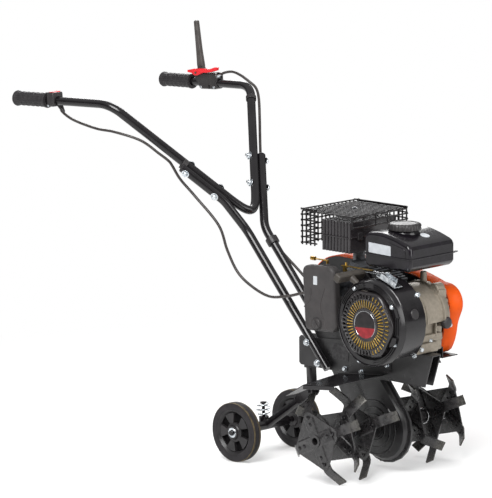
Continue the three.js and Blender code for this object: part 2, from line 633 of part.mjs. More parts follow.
function tineGuard(parent, name, side) {
  const { inner, outer, thickness, front, rear_out: rearOut, rear_in: rearIn } = GUARD_WING;
  const slope = (GUARD_HEIGHT.rear - GUARD_HEIGHT.front) / (rearOut - front);
  const seat = BED.half + SEAT_GAP;
  const wingShape = polygon([
    [seat, front], [outer, front], [outer, rearOut], [inner, rearIn], [seat, rearIn],
  ]);
  const wing = slabZ(wingShape, 0, thickness);
  const shear = new THREE.Matrix4().set(
    1, 0, 0, 0, 0, 1, 0, 0, 0, slope, 1, GUARD_HEIGHT.front - slope * front, 0, 0, 0, 1,
  );
  wing.applyMatrix4(shear);
  const parts = [wing];
  const lip = block(outer - thickness, outer, front, rearOut, -GUARD_HEIGHT.lip, thickness);
  lip.applyMatrix4(shear);
  parts.push(lip);
  const frontLip = block(seat, outer, front, front + thickness, -GUARD_HEIGHT.lip, thickness);
  frontLip.applyMatrix4(shear);
  parts.push(frontLip);
  const flapSlope = -GUARD_HEIGHT.flap_drop / GUARD_HEIGHT.flap_run;
  const flapShape = polygon([
    [GUARD_HEIGHT.flap_in, -FUSE], [outer, -FUSE], [outer, GUARD_HEIGHT.flap_run],
    [GUARD_HEIGHT.flap_in + GUARD_HEIGHT.flap_run, GUARD_HEIGHT.flap_run],
  ]);
  const flap = slabZ(flapShape, 0, thickness);
  flap.applyMatrix4(new THREE.Matrix4().set(
    1, 0, 0, 0, 0, 1, 0, rearOut, 0, flapSlope, 1, GUARD_HEIGHT.rear, 0, 0, 0, 1,
  ));
  parts.push(flap);
  const body = shaped(parts);
  if (side === RIGHT) {
    body.scale(-1, 1, 1);
    flipFaces(body);
  }
  piece(parent, name, body, 'black_enamel');
}

function flipFaces(geometry) {
  const index = geometry.index.array;
  for (let i = 0; i < index.length; i += 3) {
    [index[i], index[i + 1]] = [index[i + 1], index[i]];
  }
}

// Engine
// The place (y, z) at a reach along the cylinder from the crank's axis, and an offset across it
function onCylinder(reach, offset) {
  const tilt = THREE.MathUtils.degToRad(CYLINDER.tilt);
  return [
    CRANK_Y + reach * Math.cos(tilt) - offset * Math.sin(tilt),
    CRANK_Z + reach * Math.sin(tilt) + offset * Math.cos(tilt),
  ];
}

function crankcase(parent) {
  const foot = BED.top + SEAT_GAP;
  const mouth = CYLINDER.start - SEAT_GAP;
  const barrel = slabX(disc(CRANK_Y, CRANK_Z, CRANKCASE.radius), CRANKCASE.low_x, CRANKCASE.high_x, {
    bevel: CRANK_COVER.ring, bevelSegments: 1, curveSegments: 10,
  });
  const mount = slabX(polygon([
    onCylinder(0, -CYLINDER.half), onCylinder(mouth, -CYLINDER.half), onCylinder(mouth, CYLINDER.half),
    onCylinder(0, CYLINDER.half),
  ]), CYLINDER.low_x, CYLINDER.high_x);
  const base = block(
    CRANKCASE.low_x, CRANKCASE.high_x, CRANKCASE.base_front, CRANKCASE.base_rear,
    foot, foot + CRANKCASE.flange,
  );
  const waist = block(
    CRANKCASE.low_x + CRANKCASE.flange, CRANKCASE.high_x - CRANKCASE.flange,
    CRANKCASE.base_front + CRANKCASE.flange, CRANKCASE.base_rear - CRANKCASE.flange, foot, CRANK_Z,
  );
  const cover = rodX(CRANK_Y, CRANK_Z, CRANK_COVER.radius - CRANK_COVER.ring, CRANK_COVER.low_x,
    CRANKCASE.high_x + CRANK_COVER.ring, 20);
  const post = rodZ(TANK_POST.x, TANK_POST.y, TANK_POST.radius, CRANK_Z, TANK.low - SEAT_GAP, 8);
  const oilBoss = rodBetween(
    new THREE.Vector3(OIL_CAP.x, CRANK_Y, CRANK_Z - OIL_CAP.drop),
    new THREE.Vector3(OIL_CAP.x, CRANK_Y - CRANKCASE.radius, CRANK_Z - OIL_CAP.drop), OIL_CAP.radius, 12,
  );
  const through = 2 * CRANKCASE.radius;
  const bore = rodX(CRANK_Y, CRANK_Z, CRANKSHAFT.radius + SEAT_GAP, -through, through, 16);
  const oilHole = rodBetween(
    new THREE.Vector3(OIL_CAP.x, CRANK_Y - CRANKCASE.radius + OIL_CAP.neck_length + CUT_OVERRUN,
      CRANK_Z - OIL_CAP.drop),
    new THREE.Vector3(OIL_CAP.x, CRANK_Y - 2 * CRANKCASE.radius, CRANK_Z - OIL_CAP.drop),
    OIL_CAP.neck + SEAT_GAP, 14,
  );
  piece(parent, 'crankcase', shaped([barrel, mount, base, waist, cover, post, oilBoss], [bore, oilHole]),
    'cast_aluminium');
}

function crankshaft(parent) {
  const bar = rodX(CRANK_Y, CRANK_Z, CRANKSHAFT.radius, CRANKSHAFT.low_x, CRANKSHAFT.high_x, 16);
  const pulley = pulleyGeometry(CRANK_Y, CRANK_Z, PULLEY.drive, CRANKSHAFT.radius, 16);
  piece(parent, 'crankshaft', shaped([bar, pulley]), 'steel');
}

function cylinder(parent) {
  const step = (CYLINDER.end - CYLINDER.start) / CYLINDER_FINS.count;
  const upper = [];
  for (let i = 0; i < CYLINDER_FINS.count; i += 1) {
    const r = CYLINDER.start + i * step;
    const deep = CYLINDER.half - CYLINDER_FINS.depth;
    upper.push([r, deep], [r + step / 2, deep], [r + step / 2, CYLINDER.half], [r + step, CYLINDER.half]);
  }
  const lower = upper.map(([r, h]) => [r, -h]).reverse();
  const finned = slabX(polygon([...upper, ...lower].map(([r, h]) => onCylinder(r, h)).reverse()),
    CYLINDER.low_x, CYLINDER.high_x);
  piece(parent, 'cylinder', geometryOf(solid(finned)), 'cast_aluminium');
  const headShape = (from, to, half) => polygon([
    onCylinder(from, -half), onCylinder(to, -half), onCylinder(to, half), onCylinder(from, half),
  ]);
  const start = CYLINDER.end + SEAT_GAP;
  const head = slabX(headShape(start, HEAD.end, HEAD.half), CYLINDER.low_x, CYLINDER.high_x);
  const cover = slabX(headShape(HEAD.end - FUSE, HEAD.cover_end, HEAD.cover_half),
    CYLINDER.low_x + HEAD.inset, CYLINDER.high_x - HEAD.inset);
  const [, seatZ] = onCylinder((CYLINDER.end + HEAD.end) / 2, 0);
  const port = rodZ(MUFFLER_PORT.x, MUFFLER_PORT.y, MUFFLER_PORT.radius, seatZ, MUFFLER.low - SEAT_GAP, 16);
  piece(parent, 'cylinder_head', shaped([head, cover, port]), 'cast_aluminium');
}

function fanShroud(parent) {
  const ring = slabX(disc(CRANK_Y, CRANK_Z, SHROUD.radius), SHROUD.low_x, SHROUD.high_x, {
    bevel: SHROUD.wall, bevelSegments: 1, curveSegments: 13,
  });
  const hollow = rodX(CRANK_Y, CRANK_Z, SHROUD.radius - SHROUD.wall, SHROUD.low_x + SHROUD.wall,
    SHROUD.high_x + CUT_OVERRUN, 22);
  const mouth = rodX(CRANK_Y, CRANK_Z, SHROUD.mouth, SHROUD.low_x - CUT_OVERRUN, SHROUD.high_x, 22);
  const ductShape = (half, reach) => polygon([
    onCylinder(0, -half), onCylinder(reach, -half), onCylinder(reach, half), onCylinder(0, half),
  ]);
  const duct = slabX(ductShape(SHROUD_DUCT.half, SHROUD_DUCT.reach), SHROUD_DUCT.low_x, SHROUD_DUCT.high_x);
  const ductHollow = slabX(
    ductShape(SHROUD_DUCT.half - SHROUD.wall, SHROUD_DUCT.reach - SHROUD.wall),
    SHROUD_DUCT.low_x + SHROUD.wall, SHROUD_DUCT.high_x + CUT_OVERRUN,
  );
  const clear = rodX(
    CRANK_Y, CRANK_Z, CRANKCASE.radius + SEAT_GAP, SHROUD.high_x, SHROUD_DUCT.high_x + CUT_OVERRUN, 32,
  );
  const below = block(
    SHROUD.low_x - CUT_OVERRUN, SHROUD_DUCT.high_x + CUT_OVERRUN, CRANK_Y - 2 * SHROUD.radius,
    CRANK_Y + 2 * SHROUD.radius, SHROUD.flat - SHROUD.radius, SHROUD.flat,
  );
  const mountClear = block(
    SHROUD.high_x, SHROUD_DUCT.high_x + CUT_OVERRUN, CRANK_Y - SHROUD.radius, CRANK_Y + CRANKCASE.radius,
    SHROUD.flat, CRANK_Z,
  );
  piece(parent, 'fan_shroud', shaped([ring, duct], [hollow, mouth, ductHollow, clear, below, mountClear]),
    'black_enamel');
}

function recoilCover(parent) {
  const outline = [];
  const steps = 6 * RECOIL.lobes;
  for (let i = 0; i < steps; i += 1) {
    const angle = (2 * Math.PI * i) / steps;
    const radius = RECOIL.radius + RECOIL.lobe * Math.cos(RECOIL.lobes * angle);
    outline.push([CRANK_Y + radius * Math.cos(angle), CRANK_Z + radius * Math.sin(angle)]);
  }
  const face = polygon(outline);
  const rim = SHROUD.low_x - SEAT_GAP;
  const shell = slabX(face, RECOIL.low_x, rim, { bevel: RECOIL.bevel, bevelSegments: 1 });
  const hollow = rodX(CRANK_Y, CRANK_Z, RECOIL.cavity, RECOIL.low_x + RECOIL.wall, rim + CUT_OVERRUN, 24);
  const slots = [];
  for (let i = 0; i < RECOIL_SLOT.count; i += 1) {
    const angle = (2 * Math.PI * i) / RECOIL_SLOT.count;
    const slot = block(
      RECOIL.low_x - CUT_OVERRUN, RECOIL.low_x + RECOIL.wall + CUT_OVERRUN,
      RECOIL_SLOT.inner, RECOIL_SLOT.outer, -RECOIL_SLOT.width / 2, RECOIL_SLOT.width / 2,
    );
    slot.rotateX(angle);
    slot.translate(0, CRANK_Y, CRANK_Z);
    slots.push(slot);
  }
  const badgeFace = RECOIL.low_x - RECOIL.wall / 2;
  const badge = rodX(CRANK_Y, CRANK_Z, RECOIL.badge, badgeFace, RECOIL.low_x + FUSE, 20);
  piece(parent, 'recoil_cover', shaped([shell, badge], [hollow, ...slots]), 'moulded_plastic');
}

function flywheel(parent) {
  const end = FLYWHEEL.low_x + FLYWHEEL.disc;
  const parts = [
    rodX(CRANK_Y, CRANK_Z, FLYWHEEL.radius, FLYWHEEL.low_x, end, 20),
    rodX(CRANK_Y, CRANK_Z, FLYWHEEL.hub, FLYWHEEL.low_x, end + FLYWHEEL.blade, 14),
  ];
  for (let i = 0; i < FLYWHEEL.blades; i += 1) {
    const blade = block(
      end - FUSE, end + FLYWHEEL.blade, FLYWHEEL_BLADE.inner, FLYWHEEL_BLADE.outer,
      -FLYWHEEL.blade_width / 2, FLYWHEEL.blade_width / 2,
    );
    blade.rotateX((2 * Math.PI * i) / FLYWHEEL.blades);
    blade.translate(0, CRANK_Y, CRANK_Z);
    parts.push(blade);
  }
  const bore = rodX(CRANK_Y, CRANK_Z, CRANKSHAFT.radius + SEAT_GAP, FLYWHEEL.low_x - CUT_OVERRUN,
    end + FLYWHEEL.blade + CUT_OVERRUN, 20);
  piece(parent, 'flywheel_fan', shaped(parts, [bore]), 'cast_aluminium');
}

function starter(parent) {
  const pull = new THREE.Vector3(0, Math.cos(STARTER_PULL), Math.sin(STARTER_PULL));
  const centre = new THREE.Vector3(STARTER.x, STARTER.grip_y, STARTER.grip_z);
  const half = new THREE.Vector3(STARTER.length / 2, 0, 0);
  const bar = rodBetween(centre.clone().sub(half), centre.clone().add(half), STARTER.radius, 14);
  const foot = centre.clone().addScaledVector(pull, -STARTER.radius - STARTER.neck_length);
  const neck = rodBetween(foot, centre, STARTER.neck, 12);
  piece(parent, 'starter_handle', shaped([bar, neck]), 'moulded_plastic');
  const ropeTop = foot.clone().addScaledVector(pull, -SEAT_GAP);
  const reach = (ropeTop.z - CRANK_Z) / Math.sin(STARTER_PULL);
  const outletRadius = RECOIL.radius + RECOIL.lobe + SEAT_GAP + ROPE_RADIUS;
  let ropeFoot = ropeTop.clone();
  for (let t = 0; t < reach; t += ROPE_RADIUS) {
    const probe = ropeTop.clone().addScaledVector(pull, -t);
    if (Math.hypot(probe.y - CRANK_Y, probe.z - CRANK_Z) < outletRadius) {
      break;
    }
    ropeFoot = probe;
  }
  piece(parent, 'starter_rope', geometryOf(solid(rodBetween(ropeFoot, ropeTop, ROPE_RADIUS, 8))), 'rubber');
}

function oilCap(parent) {
  const z = CRANK_Z - OIL_CAP.drop;
  const face = CRANK_Y - CRANKCASE.radius - SEAT_GAP;
  const start = new THREE.Vector3(OIL_CAP.x, face, z);
  const end = new THREE.Vector3(OIL_CAP.x, face - OIL_CAP.length, z);
  const root = new THREE.Vector3(OIL_CAP.x, face + OIL_CAP.neck_length, z);
  const wings = new THREE.BoxGeometry(2 * OIL_CAP.radius, OIL_CAP.length, OIL_CAP.neck);
  wings.translate(OIL_CAP.x, face - OIL_CAP.length - OIL_CAP.length / 2 + FUSE, z);
  const neckEnd = start.clone().lerp(end, 0.5);
  const flange = rodBetween(start, end, OIL_CAP.radius, 16);
  const neck = rodBetween(root, neckEnd, OIL_CAP.neck, 14);
  piece(parent, 'oil_cap', shaped([flange, neck, wings]), 'moulded_plastic');
}

// Fuel tank
function fuelTank(parent) {
  const { rear, front, low, seam } = TANK;
  const corner = TANK_TOP.bevel;
  const { crown, front_top: frontTop } = TANK_TOP;
  // The top is level round the cap and falls gently to the front
  const outline = polygon([
    [front + corner / 2, low], [front, low + corner], [front, frontTop - corner],
    [front + corner / 2, frontTop], [TANK_SHOULDER.y, TANK_SHOULDER.z], [FUEL_CAP.y, crown],
    [rear - 1.5 * corner, crown], [rear, TANK.rear_top], [rear, low + corner], [rear - corner / 2, low],
  ]);
  const body = slabX(outline, TANK.low_x, TANK.high_x, { bevel: TANK_TOP.bevel, bevelSegments: 2 });
  const wide = TANK_TOP.flange;
  const flangeShape = roundedBox(TANK.low_x - wide, TANK.high_x + wide, front - wide, rear + wide, corner);
  const thick = TANK_TOP.flange_height / 2;
  const flange = slabZ(flangeShape, seam - thick, seam + thick, { curveSegments: 3 });
  const neckTop = TANK_TOP.crown + FUEL_CAP.neck_height;
  const neck = rodZ(FUEL_CAP.x, FUEL_CAP.y, FUEL_CAP.neck, seam, neckTop, 20);
  piece(parent, 'fuel_tank', shaped([body, flange, neck]), 'gloss_plastic');
}

function fuelCap(parent) {
  const low = TANK_TOP.crown + FUEL_CAP.neck_height + SEAT_GAP;
  const points = [];
  const steps = 2 * FUEL_CAP.lobes;
  for (let i = 0; i < steps; i += 1) {
    const angle = (2 * Math.PI * i) / steps;
    const radius = FUEL_CAP.radius - (i % 2) * FUEL_CAP.grip;
    points.push([FUEL_CAP.x + radius * Math.cos(angle), FUEL_CAP.y + radius * Math.sin(angle)]);
  }
  const top = slabZ(polygon(points), low, low + FUEL_CAP.height, { bevel: FUEL_CAP.grip, bevelSegments: 1 });
  piece(parent, 'fuel_cap', geometryOf(solid(top)), 'moulded_plastic');
}

// Muffler and guard net
function muffler(parent) {
  const { low_x: lowX, high_x: highX, front, rear } = MUFFLER;
  const points = [[highX, front], [highX, rear]];
  const steps = 2 * MUFFLER_RIBS.count;
  for (let i = 0; i <= steps; i += 1) {
    points.push([lowX + (i % 2) * MUFFLER_RIBS.depth, rear + ((front - rear) * i) / steps]);
  }
  const body = slabZ(polygon(points), MUFFLER.low, MUFFLER.high, { bevel: MUFFLER.bevel, bevelSegments: 2 });
  piece(parent, 'muffler', geometryOf(solid(body)), 'black_enamel');
}

// Bars of one panel: low and high corners of the panel, the way it is thin, and its two counts
function netBars(low, high, thin, counts) {
  const ways = [0, 1, 2].filter((axis) => axis !== thin);
  const bars = [];
  ways.forEach((across, index) => {
    const count = counts[index];
    const step = (high[across] - low[across] - NET_WIRE.bar) / count;
    for (let i = 0; i <= count; i += 1) {
      const from = [...low];
      const to = [...high];
      from[across] = low[across] + i * step;
      to[across] = from[across] + NET_WIRE.bar;
      bars.push(block(from[0], to[0], from[1], to[1], from[2], to[2]));
    }
  });
  return bars;
}

function mufflerGuard(parent) {
  const { low_x: lowX, high_x: highX, front, rear, top, drop } = NET;
  const { bar, near_run: nearRun } = NET_WIRE;
  const low = top - drop;
  const { across, along, down, near } = NET_COUNT;
  const bars = [
    ...netBars([lowX, front, top - bar], [highX, rear, top], 2, [across, along]),
    ...netBars([lowX, rear - bar, low], [highX, rear, top], 1, [across, down]),
    ...netBars([highX - bar, front, low], [highX, rear, top], 0, [along, down]),
    ...netBars([lowX, rear - nearRun, low], [lowX + bar, rear, top], 0, [near, down]),
  ];
  const footX = lowX + bar / 2 + ((highX - lowX - bar) / across) * (across / 2);
  const footY = front + bar / 2 + ((rear - front - bar) / along) * (along / 2);
  const foot = rodZ(footX, footY, NET_FOOT.radius, MUFFLER.high + SEAT_GAP, top - bar + FUSE, 10);
  const washer = rodZ(footX, footY, NET_FOOT.washer, top - bar - FUSE, top, 12);
  piece(parent, 'muffler_guard', shaped([...bars, foot, washer]), 'black_enamel');
}

// Air cleaner and carburettor
// The housing leans a little rearwards about its knob
function leaned(geometry) {
  geometry.translate(0, -CLEANER_KNOB.y, -CLEANER_KNOB.z);
  geometry.rotateX(-CLEANER_LEAN);
  geometry.translate(0, CLEANER_KNOB.y, CLEANER_KNOB.z);
  return geometry;
}

function airCleaner(parent) {
  const { low_x: lowX, high_x: highX, front, rear, low, high } = CLEANER;
  const { corner, bevel } = CLEANER_EDGE;
  const coverShape = roundedBox(front, rear, low, high, corner);
  const split = highX - CLEANER_BASE.depth;
  const full = slabX(coverShape, lowX, split + bevel, { bevel, bevelSegments: 2, curveSegments: 3 });
  const beyond = block(split, split + 2 * bevel, front - bevel, rear + bevel, low - bevel, high + bevel);
  const knobHole = rodX(
    CLEANER_KNOB.y, CLEANER_KNOB.z, bored(CLEANER_KNOB.radius / 2, 14), lowX - CUT_OVERRUN, lowX + bevel, 14,
  );
  piece(parent, 'cleaner_cover', leaned(shaped([full], [beyond, knobHole])), 'moulded_plastic');
  const { inset } = CLEANER_BASE;
  const baseShape = roundedBox(front + inset, rear - inset, low + inset, high - inset, corner);
  const base = slabX(baseShape, split + SEAT_GAP, highX, { curveSegments: 3 });
  piece(parent, 'cleaner_base', leaned(geometryOf(solid(base))), 'moulded_plastic');
}

// The knob is a disc with a bar left standing across it
function cleanerKnob(parent) {
  const { y, z, radius, height, bar, bar_height: barHeight } = CLEANER_KNOB;
  const seat = CLEANER.low_x - SEAT_GAP;
  const head = rodX(y, z, radius, seat - height, seat, 20);
  const stemEnd = CLEANER.low_x + CLEANER_EDGE.bevel - CUT_OVERRUN;
  const stem = rodX(y, z, radius / 2, seat - height / 2, stemEnd, 14);
  const low = seat - height - CUT_OVERRUN;
  const grooves = [RIGHT, LEFT].map((way) => {
    const ends = [y + (way * bar) / 2, y + 2 * way * radius];
    return block(low, low + barHeight, Math.min(...ends), Math.max(...ends), z - 2 * radius, z + 2 * radius);
  });
  piece(parent, 'cleaner_knob', shaped([head, stem], grooves), 'moulded_plastic');
}

function carburettor(parent) {
  const start = CLEANER.high_x + SEAT_GAP;
  const end = CYLINDER.low_x - SEAT_GAP;
  const { radius, offset, duct_gap: ductGap, bowl_radius: bowlRadius, bowl_drop: bowlDrop } = CARBURETTOR;
  const [y, z] = onCylinder(SHROUD_DUCT.reach + ductGap + radius, offset);
  const throat = rodX(y, z, radius, start, end, 16);
  const bowl = rodZ((start + end) / 2, y, bowlRadius, z - bowlDrop, z, 14);
  const armTop = z + radius;
  const arm = block(CHOKE.x - CHOKE_TOWER.radius, CHOKE.x + CHOKE_TOWER.radius, y, CHOKE.y, z, armTop);
  const top = CLEANER.high + CHOKE.above;
  const tower = rodZ(CHOKE.x, CHOKE.y, CHOKE_TOWER.radius, z, top - CHOKE_TOWER.drop, 12);
  const bore = rodZ(CHOKE.x, CHOKE.y, CHOKE.radius + SEAT_GAP, z + CHOKE_TOWER.seat, top, 12);
  piece(parent, 'carburettor', shaped([throat, bowl, arm, tower], [bore]), 'cast_aluminium');
}

function chokeLever(parent) {
  const { x, y, radius, arm, arm_width: width, arm_height: height } = CHOKE;
  const top = CLEANER.high + CHOKE.above;
  const pin = rodZ(x, y, radius, top - 2 * CHOKE_TOWER.drop, top, 12);
  const bar = block(x - width / 2, x + width / 2, y - width / 2, y + arm, top - height, top);
  const knobStart = new THREE.Vector3(x, y + arm - height, top - height / 2);
  const knobEnd = new THREE.Vector3(x, y + arm + CHOKE_KNOB.length, top - height / 2);
  const knob = rodBetween(knobStart, knobEnd, CHOKE_KNOB.radius, 12);
  piece(parent, 'choke_lever', shaped([pin, bar, knob]), 'brass');
}

// Belt drive
function pulleyGeometry(y, z, radius, shaftRadius, segments) {
  const middle = PULLEY.low_x + PULLEY.width / 2;
  const half = PULLEY.groove_width / 2;
  const bore = shaftRadius / 2;
  const start = PULLEY.low_x;
  const end = start + PULLEY.width;
  const root = radius - PULLEY.groove;
  const profile = [
    [bore, start], [radius, start], [radius, middle - half], [root, middle - half],
    [root, middle + half], [radius, middle + half], [radius, end], [bore, end], [bore, start],
  ];
  return turnedX(profile, y, z, segments);
}

function beltLoop(inset) {
  const drive = { y: CRANK_Y, z: CRANK_Z };
  const driven = { y: INPUT_Y, z: INPUT_Z };
  const base = -PULLEY.groove + BELT.seat + inset;
  return loopPoints(drive, PULLEY.drive + base, driven, PULLEY.driven + base, 12);
}

function beltDrive(parent) {
  const shape = polygon(beltLoop(BELT.thickness));
  shape.holes.push(new THREE.Path(beltLoop(0).map(([a, b]) => new THREE.Vector2(a, b))));
  const middle = PULLEY.low_x + PULLEY.width / 2;
  const belt = slabX(shape, middle - BELT.width / 2, middle + BELT.width / 2);
  piece(parent, 'drive_belt', geometryOf(solid(belt)), 'rubber');
}

function beltRunHeight(y) {
  const outer = beltLoop(BELT.thickness);
  const steps = outer.length / 2;
  const [ay, az] = outer[0];
  const [by, bz] = outer[outer.length - 1];
  const [cy, cz] = outer[steps - 1];
  const [dy, dz] = outer[steps];
  const upper = az + ((bz - az) * (y - ay)) / (by - ay);
  const lower = cz + ((dz - cz) * (y - cy)) / (dy - cy);
  return Math.min(upper, lower);
}

function idler(parent) {
  const pulleyZ = beltRunHeight(IDLER.pulley_y) - IDLER.gap - IDLER.radius;
  const armX = PULLEY.low_x - SEAT_GAP - IDLER_ARM.thickness;
  const pivot = { y: IDLER.pivot_y, z: IDLER.pivot_z };
  const tip = { y: IDLER.pulley_y, z: pulleyZ };
  const arm = slabX(polygon(loopPoints(pivot, IDLER_ARM.width / 2, tip, IDLER_ARM.width / 2, 6)),
    armX, armX + IDLER_ARM.thickness);
  const roller = rodX(tip.y, tip.z, IDLER.radius, armX + FUSE, PULLEY.low_x + PULLEY.width, 16);
  const pinStart = BELT_GUARD.low_x + BACK_PLATE.thickness / 2;
  const pin = rodX(pivot.y, pivot.z, IDLER_ARM.width / 4, pinStart, armX + IDLER_ARM.thickness, 10);
  piece(parent, 'idler_arm', shaped([arm, roller, pin]), 'zinc');
}

function guardOutline(grow) {
  const front = BELT_GUARD_FRONT;
  const rear = { y: INPUT_Y, z: INPUT_Z };
  const loop = loopPoints(front, BELT_GUARD.lobe_front + grow, rear, BELT_GUARD.lobe_rear + grow, 14);
  // The front lobe runs straight down to a foot below the crank pulley
  const { cheek, cheek_rise: cheekRise, sole_rear_y: soleRear, sole_drop: soleDrop } = BELT_GUARD_FOOT;
  const underFront = ([y, z]) => z < front.z && y < BELT_GUARD_FOOT.keep_y;
  const kept = loop.filter((point) => !underFront(point));
  const start = loop.findIndex(underFront);
  const foot = [
    [front.low_y - grow - cheek, front.low_z + cheekRise], [front.low_y - grow, front.low_z - grow],
    [soleRear, front.low_z - grow - soleDrop],
  ];
  kept.splice(start, 0, ...foot);
  return polygon(kept);
}

function beltGuard(parent) {
  const { low_x: lowX, high_x: highX, wall, bevel } = BELT_GUARD;
  const outer = slabX(guardOutline(0), lowX - bevel, highX, { bevel, bevelSegments: 2 });
  const inner = slabX(guardOutline(-wall), lowX - bevel, highX - wall, {
    bevel: bevel - wall / 2, bevelSegments: 1,
  });
  const reach = INPUT_Z * 2;
  const open = block(lowX - 2 * bevel, lowX, -reach, reach, -reach, 2 * reach);
  piece(parent, 'belt_guard', shaped([outer], [inner, open]), 'orange_enamel');
  // The back plate sits inside the guard's wall, and its foot passes under the wall
  const low = BELT_GUARD.low_x + SEAT_GAP;
  const high = low + BACK_PLATE.thickness;
  const plate = slabX(guardOutline(-BELT_GUARD.wall - SEAT_GAP), low, high);
  const crankHole = rodX(CRANK_Y, CRANK_Z, BACK_PLATE.hole, low - CUT_OVERRUN, high + CUT_OVERRUN, 14);
  const inputBore = bored(INPUT_SHAFT.radius, 12);
  const inputHole = rodX(INPUT_Y, INPUT_Z, inputBore, low - CUT_OVERRUN, high + CUT_OVERRUN, 12);
  const pinHole = rodX(IDLER.pivot_y, IDLER.pivot_z, IDLER_ARM.width / 4 + SEAT_GAP, low - CUT_OVERRUN,
    high + CUT_OVERRUN, 12);
  const lipTop = BELT_GUARD_FRONT.low_z - SEAT_GAP - BELT_GUARD_FOOT.sole_drop;
  const lipLow = lipTop - BACK_PLATE.lip_thickness;
  const lipFront = BELT_GUARD_FRONT.low_y;
  const lipRear = BELT_GUARD_FRONT.y;
  const face = BELT_GUARD.low_x - SEAT_GAP;
  const back = face - BACK_PLATE.thickness;
  const lip = block(back, high + BACK_PLATE.lip, lipFront, lipRear, lipLow, lipTop);
  const hem = block(back, face, lipFront, lipRear, lipLow, lipTop + BACK_PLATE.hem);
  const tab = block(back, high, lipFront + BACK_PLATE.hem, lipRear, lipTop + BACK_PLATE.hem - BACK_PLATE.tab,
    lipTop + BACK_PLATE.hem);
  const cuts = [crankHole, inputHole, pinHole];
  piece(parent, 'guard_back_plate', shaped([plate, lip, hem, tab], cuts), 'black_enamel');
}

// Transport wheels, in the floor frame
function wheel(parent, name, side) {
  const centre = side * (WHEEL.track / 2);
  const half = WHEEL.width / 2;
  const bore = AXLE.radius + SEAT_GAP;
  const hubHalf = WHEEL.hub_width / 2;
  const web = WHEEL.web / 2;
  const shoulder = WHEEL.radius - TYRE_SHOULDER.height;
  const crown = half - TYRE_SHOULDER.width;
  const profile = [
    [bore, -hubHalf], [WHEEL.hub, -hubHalf], [WHEEL.hub, -web], [WHEEL.rim, -web], [WHEEL.rim, -half],
    [shoulder, -half], [WHEEL.radius, -crown], [WHEEL.radius, crown], [shoulder, half],
    [WHEEL.rim, half], [WHEEL.rim, web], [WHEEL.hub, web],
    [WHEEL.hub, hubHalf], [bore, hubHalf], [bore, -hubHalf],
  ];
  const body = turnedX(profile, 0, 0, 20);
  const cuts = [];
  const { count, inner, outer, open_share: share } = WHEEL_WINDOW;
  for (let i = 0; i < count; i += 1) {
    const spread = (Math.PI / count) * share;
    const shape = new THREE.Shape();
    shape.absarc(0, 0, outer, -spread, spread, false);
    shape.absarc(0, 0, inner, spread, -spread, true);
    const cut = slabX(shape, -WHEEL.web, WHEEL.web, { curveSegments: 1 });
    cut.rotateX((2 * Math.PI * i) / count);
    cuts.push(cut);
  }
  const geometry = shaped([body], cuts);
  geometry.translate(centre, 0, WHEEL.radius);
  piece(parent, name, geometry, 'rubber');
}

function wheelArm(parent) {
  const axleHalf = AXLE.length / 2;
  const parts = [
    rodX(0, WHEEL.radius, AXLE.radius, -axleHalf, axleHalf, 12),
    rodX(0, WHEEL.radius, AXLE.carrier_radius, -AXLE.carrier_length / 2, AXLE.carrier_length / 2, 12),
  ];
  const pivot = new THREE.Vector3(0, POST.y, ARM.pivot_z);
  const axle = new THREE.Vector3(0, 0, WHEEL.radius);
  const along = new THREE.Vector3().subVectors(axle, pivot).normalize();
  const tubeStart = pivot.clone().addScaledVector(along, ARM.fork_length);
  parts.push(rodBetween(tubeStart, axle, ARM.radius, 12));
  const plateHalf = POST.width / 2 + SEAT_GAP + ARM.fork_plate;
  for (const side of [RIGHT, LEFT]) {
    const inner = side * (POST.width / 2 + SEAT_GAP);
    const outer = side * plateHalf;
    const tip = tubeStart.clone().addScaledVector(along, ARM.fork_length / 2);
    const shape = polygon(loopPoints(pivot, ARM.fork / 2, tip, ARM.radius, 4));
    parts.push(slabX(shape, Math.min(inner, outer), Math.max(inner, outer)));
  }
  const boltHalf = plateHalf + BOLT.head_height;
  parts.push(rodX(pivot.y, pivot.z, BOLT.radius, -boltHalf, boltHalf, 10));
  const latchTop = LATCH_LOW + LATCH.height;
  const latch = rodZ(0, LATCH.y, LATCH.pin_radius, WHEEL.radius, latchTop, 8);
  const head = rodZ(0, LATCH.y, LATCH.head_radius, latchTop - LATCH.head, latchTop, 12);
  const seat = rodZ(0, LATCH.y, SPRING.radius + SPRING.wire, WHEEL.radius, LATCH_LOW + LATCH.seat, 12);
  parts.push(latch, head, seat);
  piece(parent, 'wheel_arm', shaped(parts), 'black_enamel');
}

function latchSpring(parent) {
  const stations = [];
  const low = LATCH_LOW + LATCH.seat + SPRING.wire + SEAT_GAP;
  const count = SPRING.turns * SPRING.steps;
  for (let i = 0; i <= count; i += 1) {
    const angle = (2 * Math.PI * i) / SPRING.steps;
    const height = low + (SPRING.pitch * i) / SPRING.steps;
    stations.push(new THREE.Vector3(
      SPRING.radius * Math.cos(angle), LATCH.y + SPRING.radius * Math.sin(angle), height,
    ));
  }
  let least = Infinity;
  for (let i = 0; i < stations.length; i += 1) {
    for (let j = i + SPRING.steps / 2; j < stations.length; j += 1) {
      least = Math.min(least, stations[i].distanceTo(stations[j]) - 2 * SPRING.wire);
    }
  }
  console.log(`latch spring: least gap between turns ${least.toFixed(2)} mm`);
  piece(parent, 'latch_spring', geometryOf(solid(tubeAlong(stations, SPRING.wire, SPRING.sides))), 'zinc');
}

function rearPost(parent) {
  const half = POST.width / 2;
  const bar = block(-half, half, POST.y - half, POST.y + half, POST.low, POST.high);
  const hole = rodX(POST.y, ARM.pivot_z, BOLT.radius + SEAT_GAP, -2 * half, 2 * half, 12);
  const headHalf = SIDE_PLATE.x - SEAT_GAP;
  const head = block(-headHalf, headHalf, POST.y - half, POST.y + half, POST.high - POST.head, POST.high);
  piece(parent, 'rear_post', shaped([bar, head], [hole]), 'black_enamel');
}

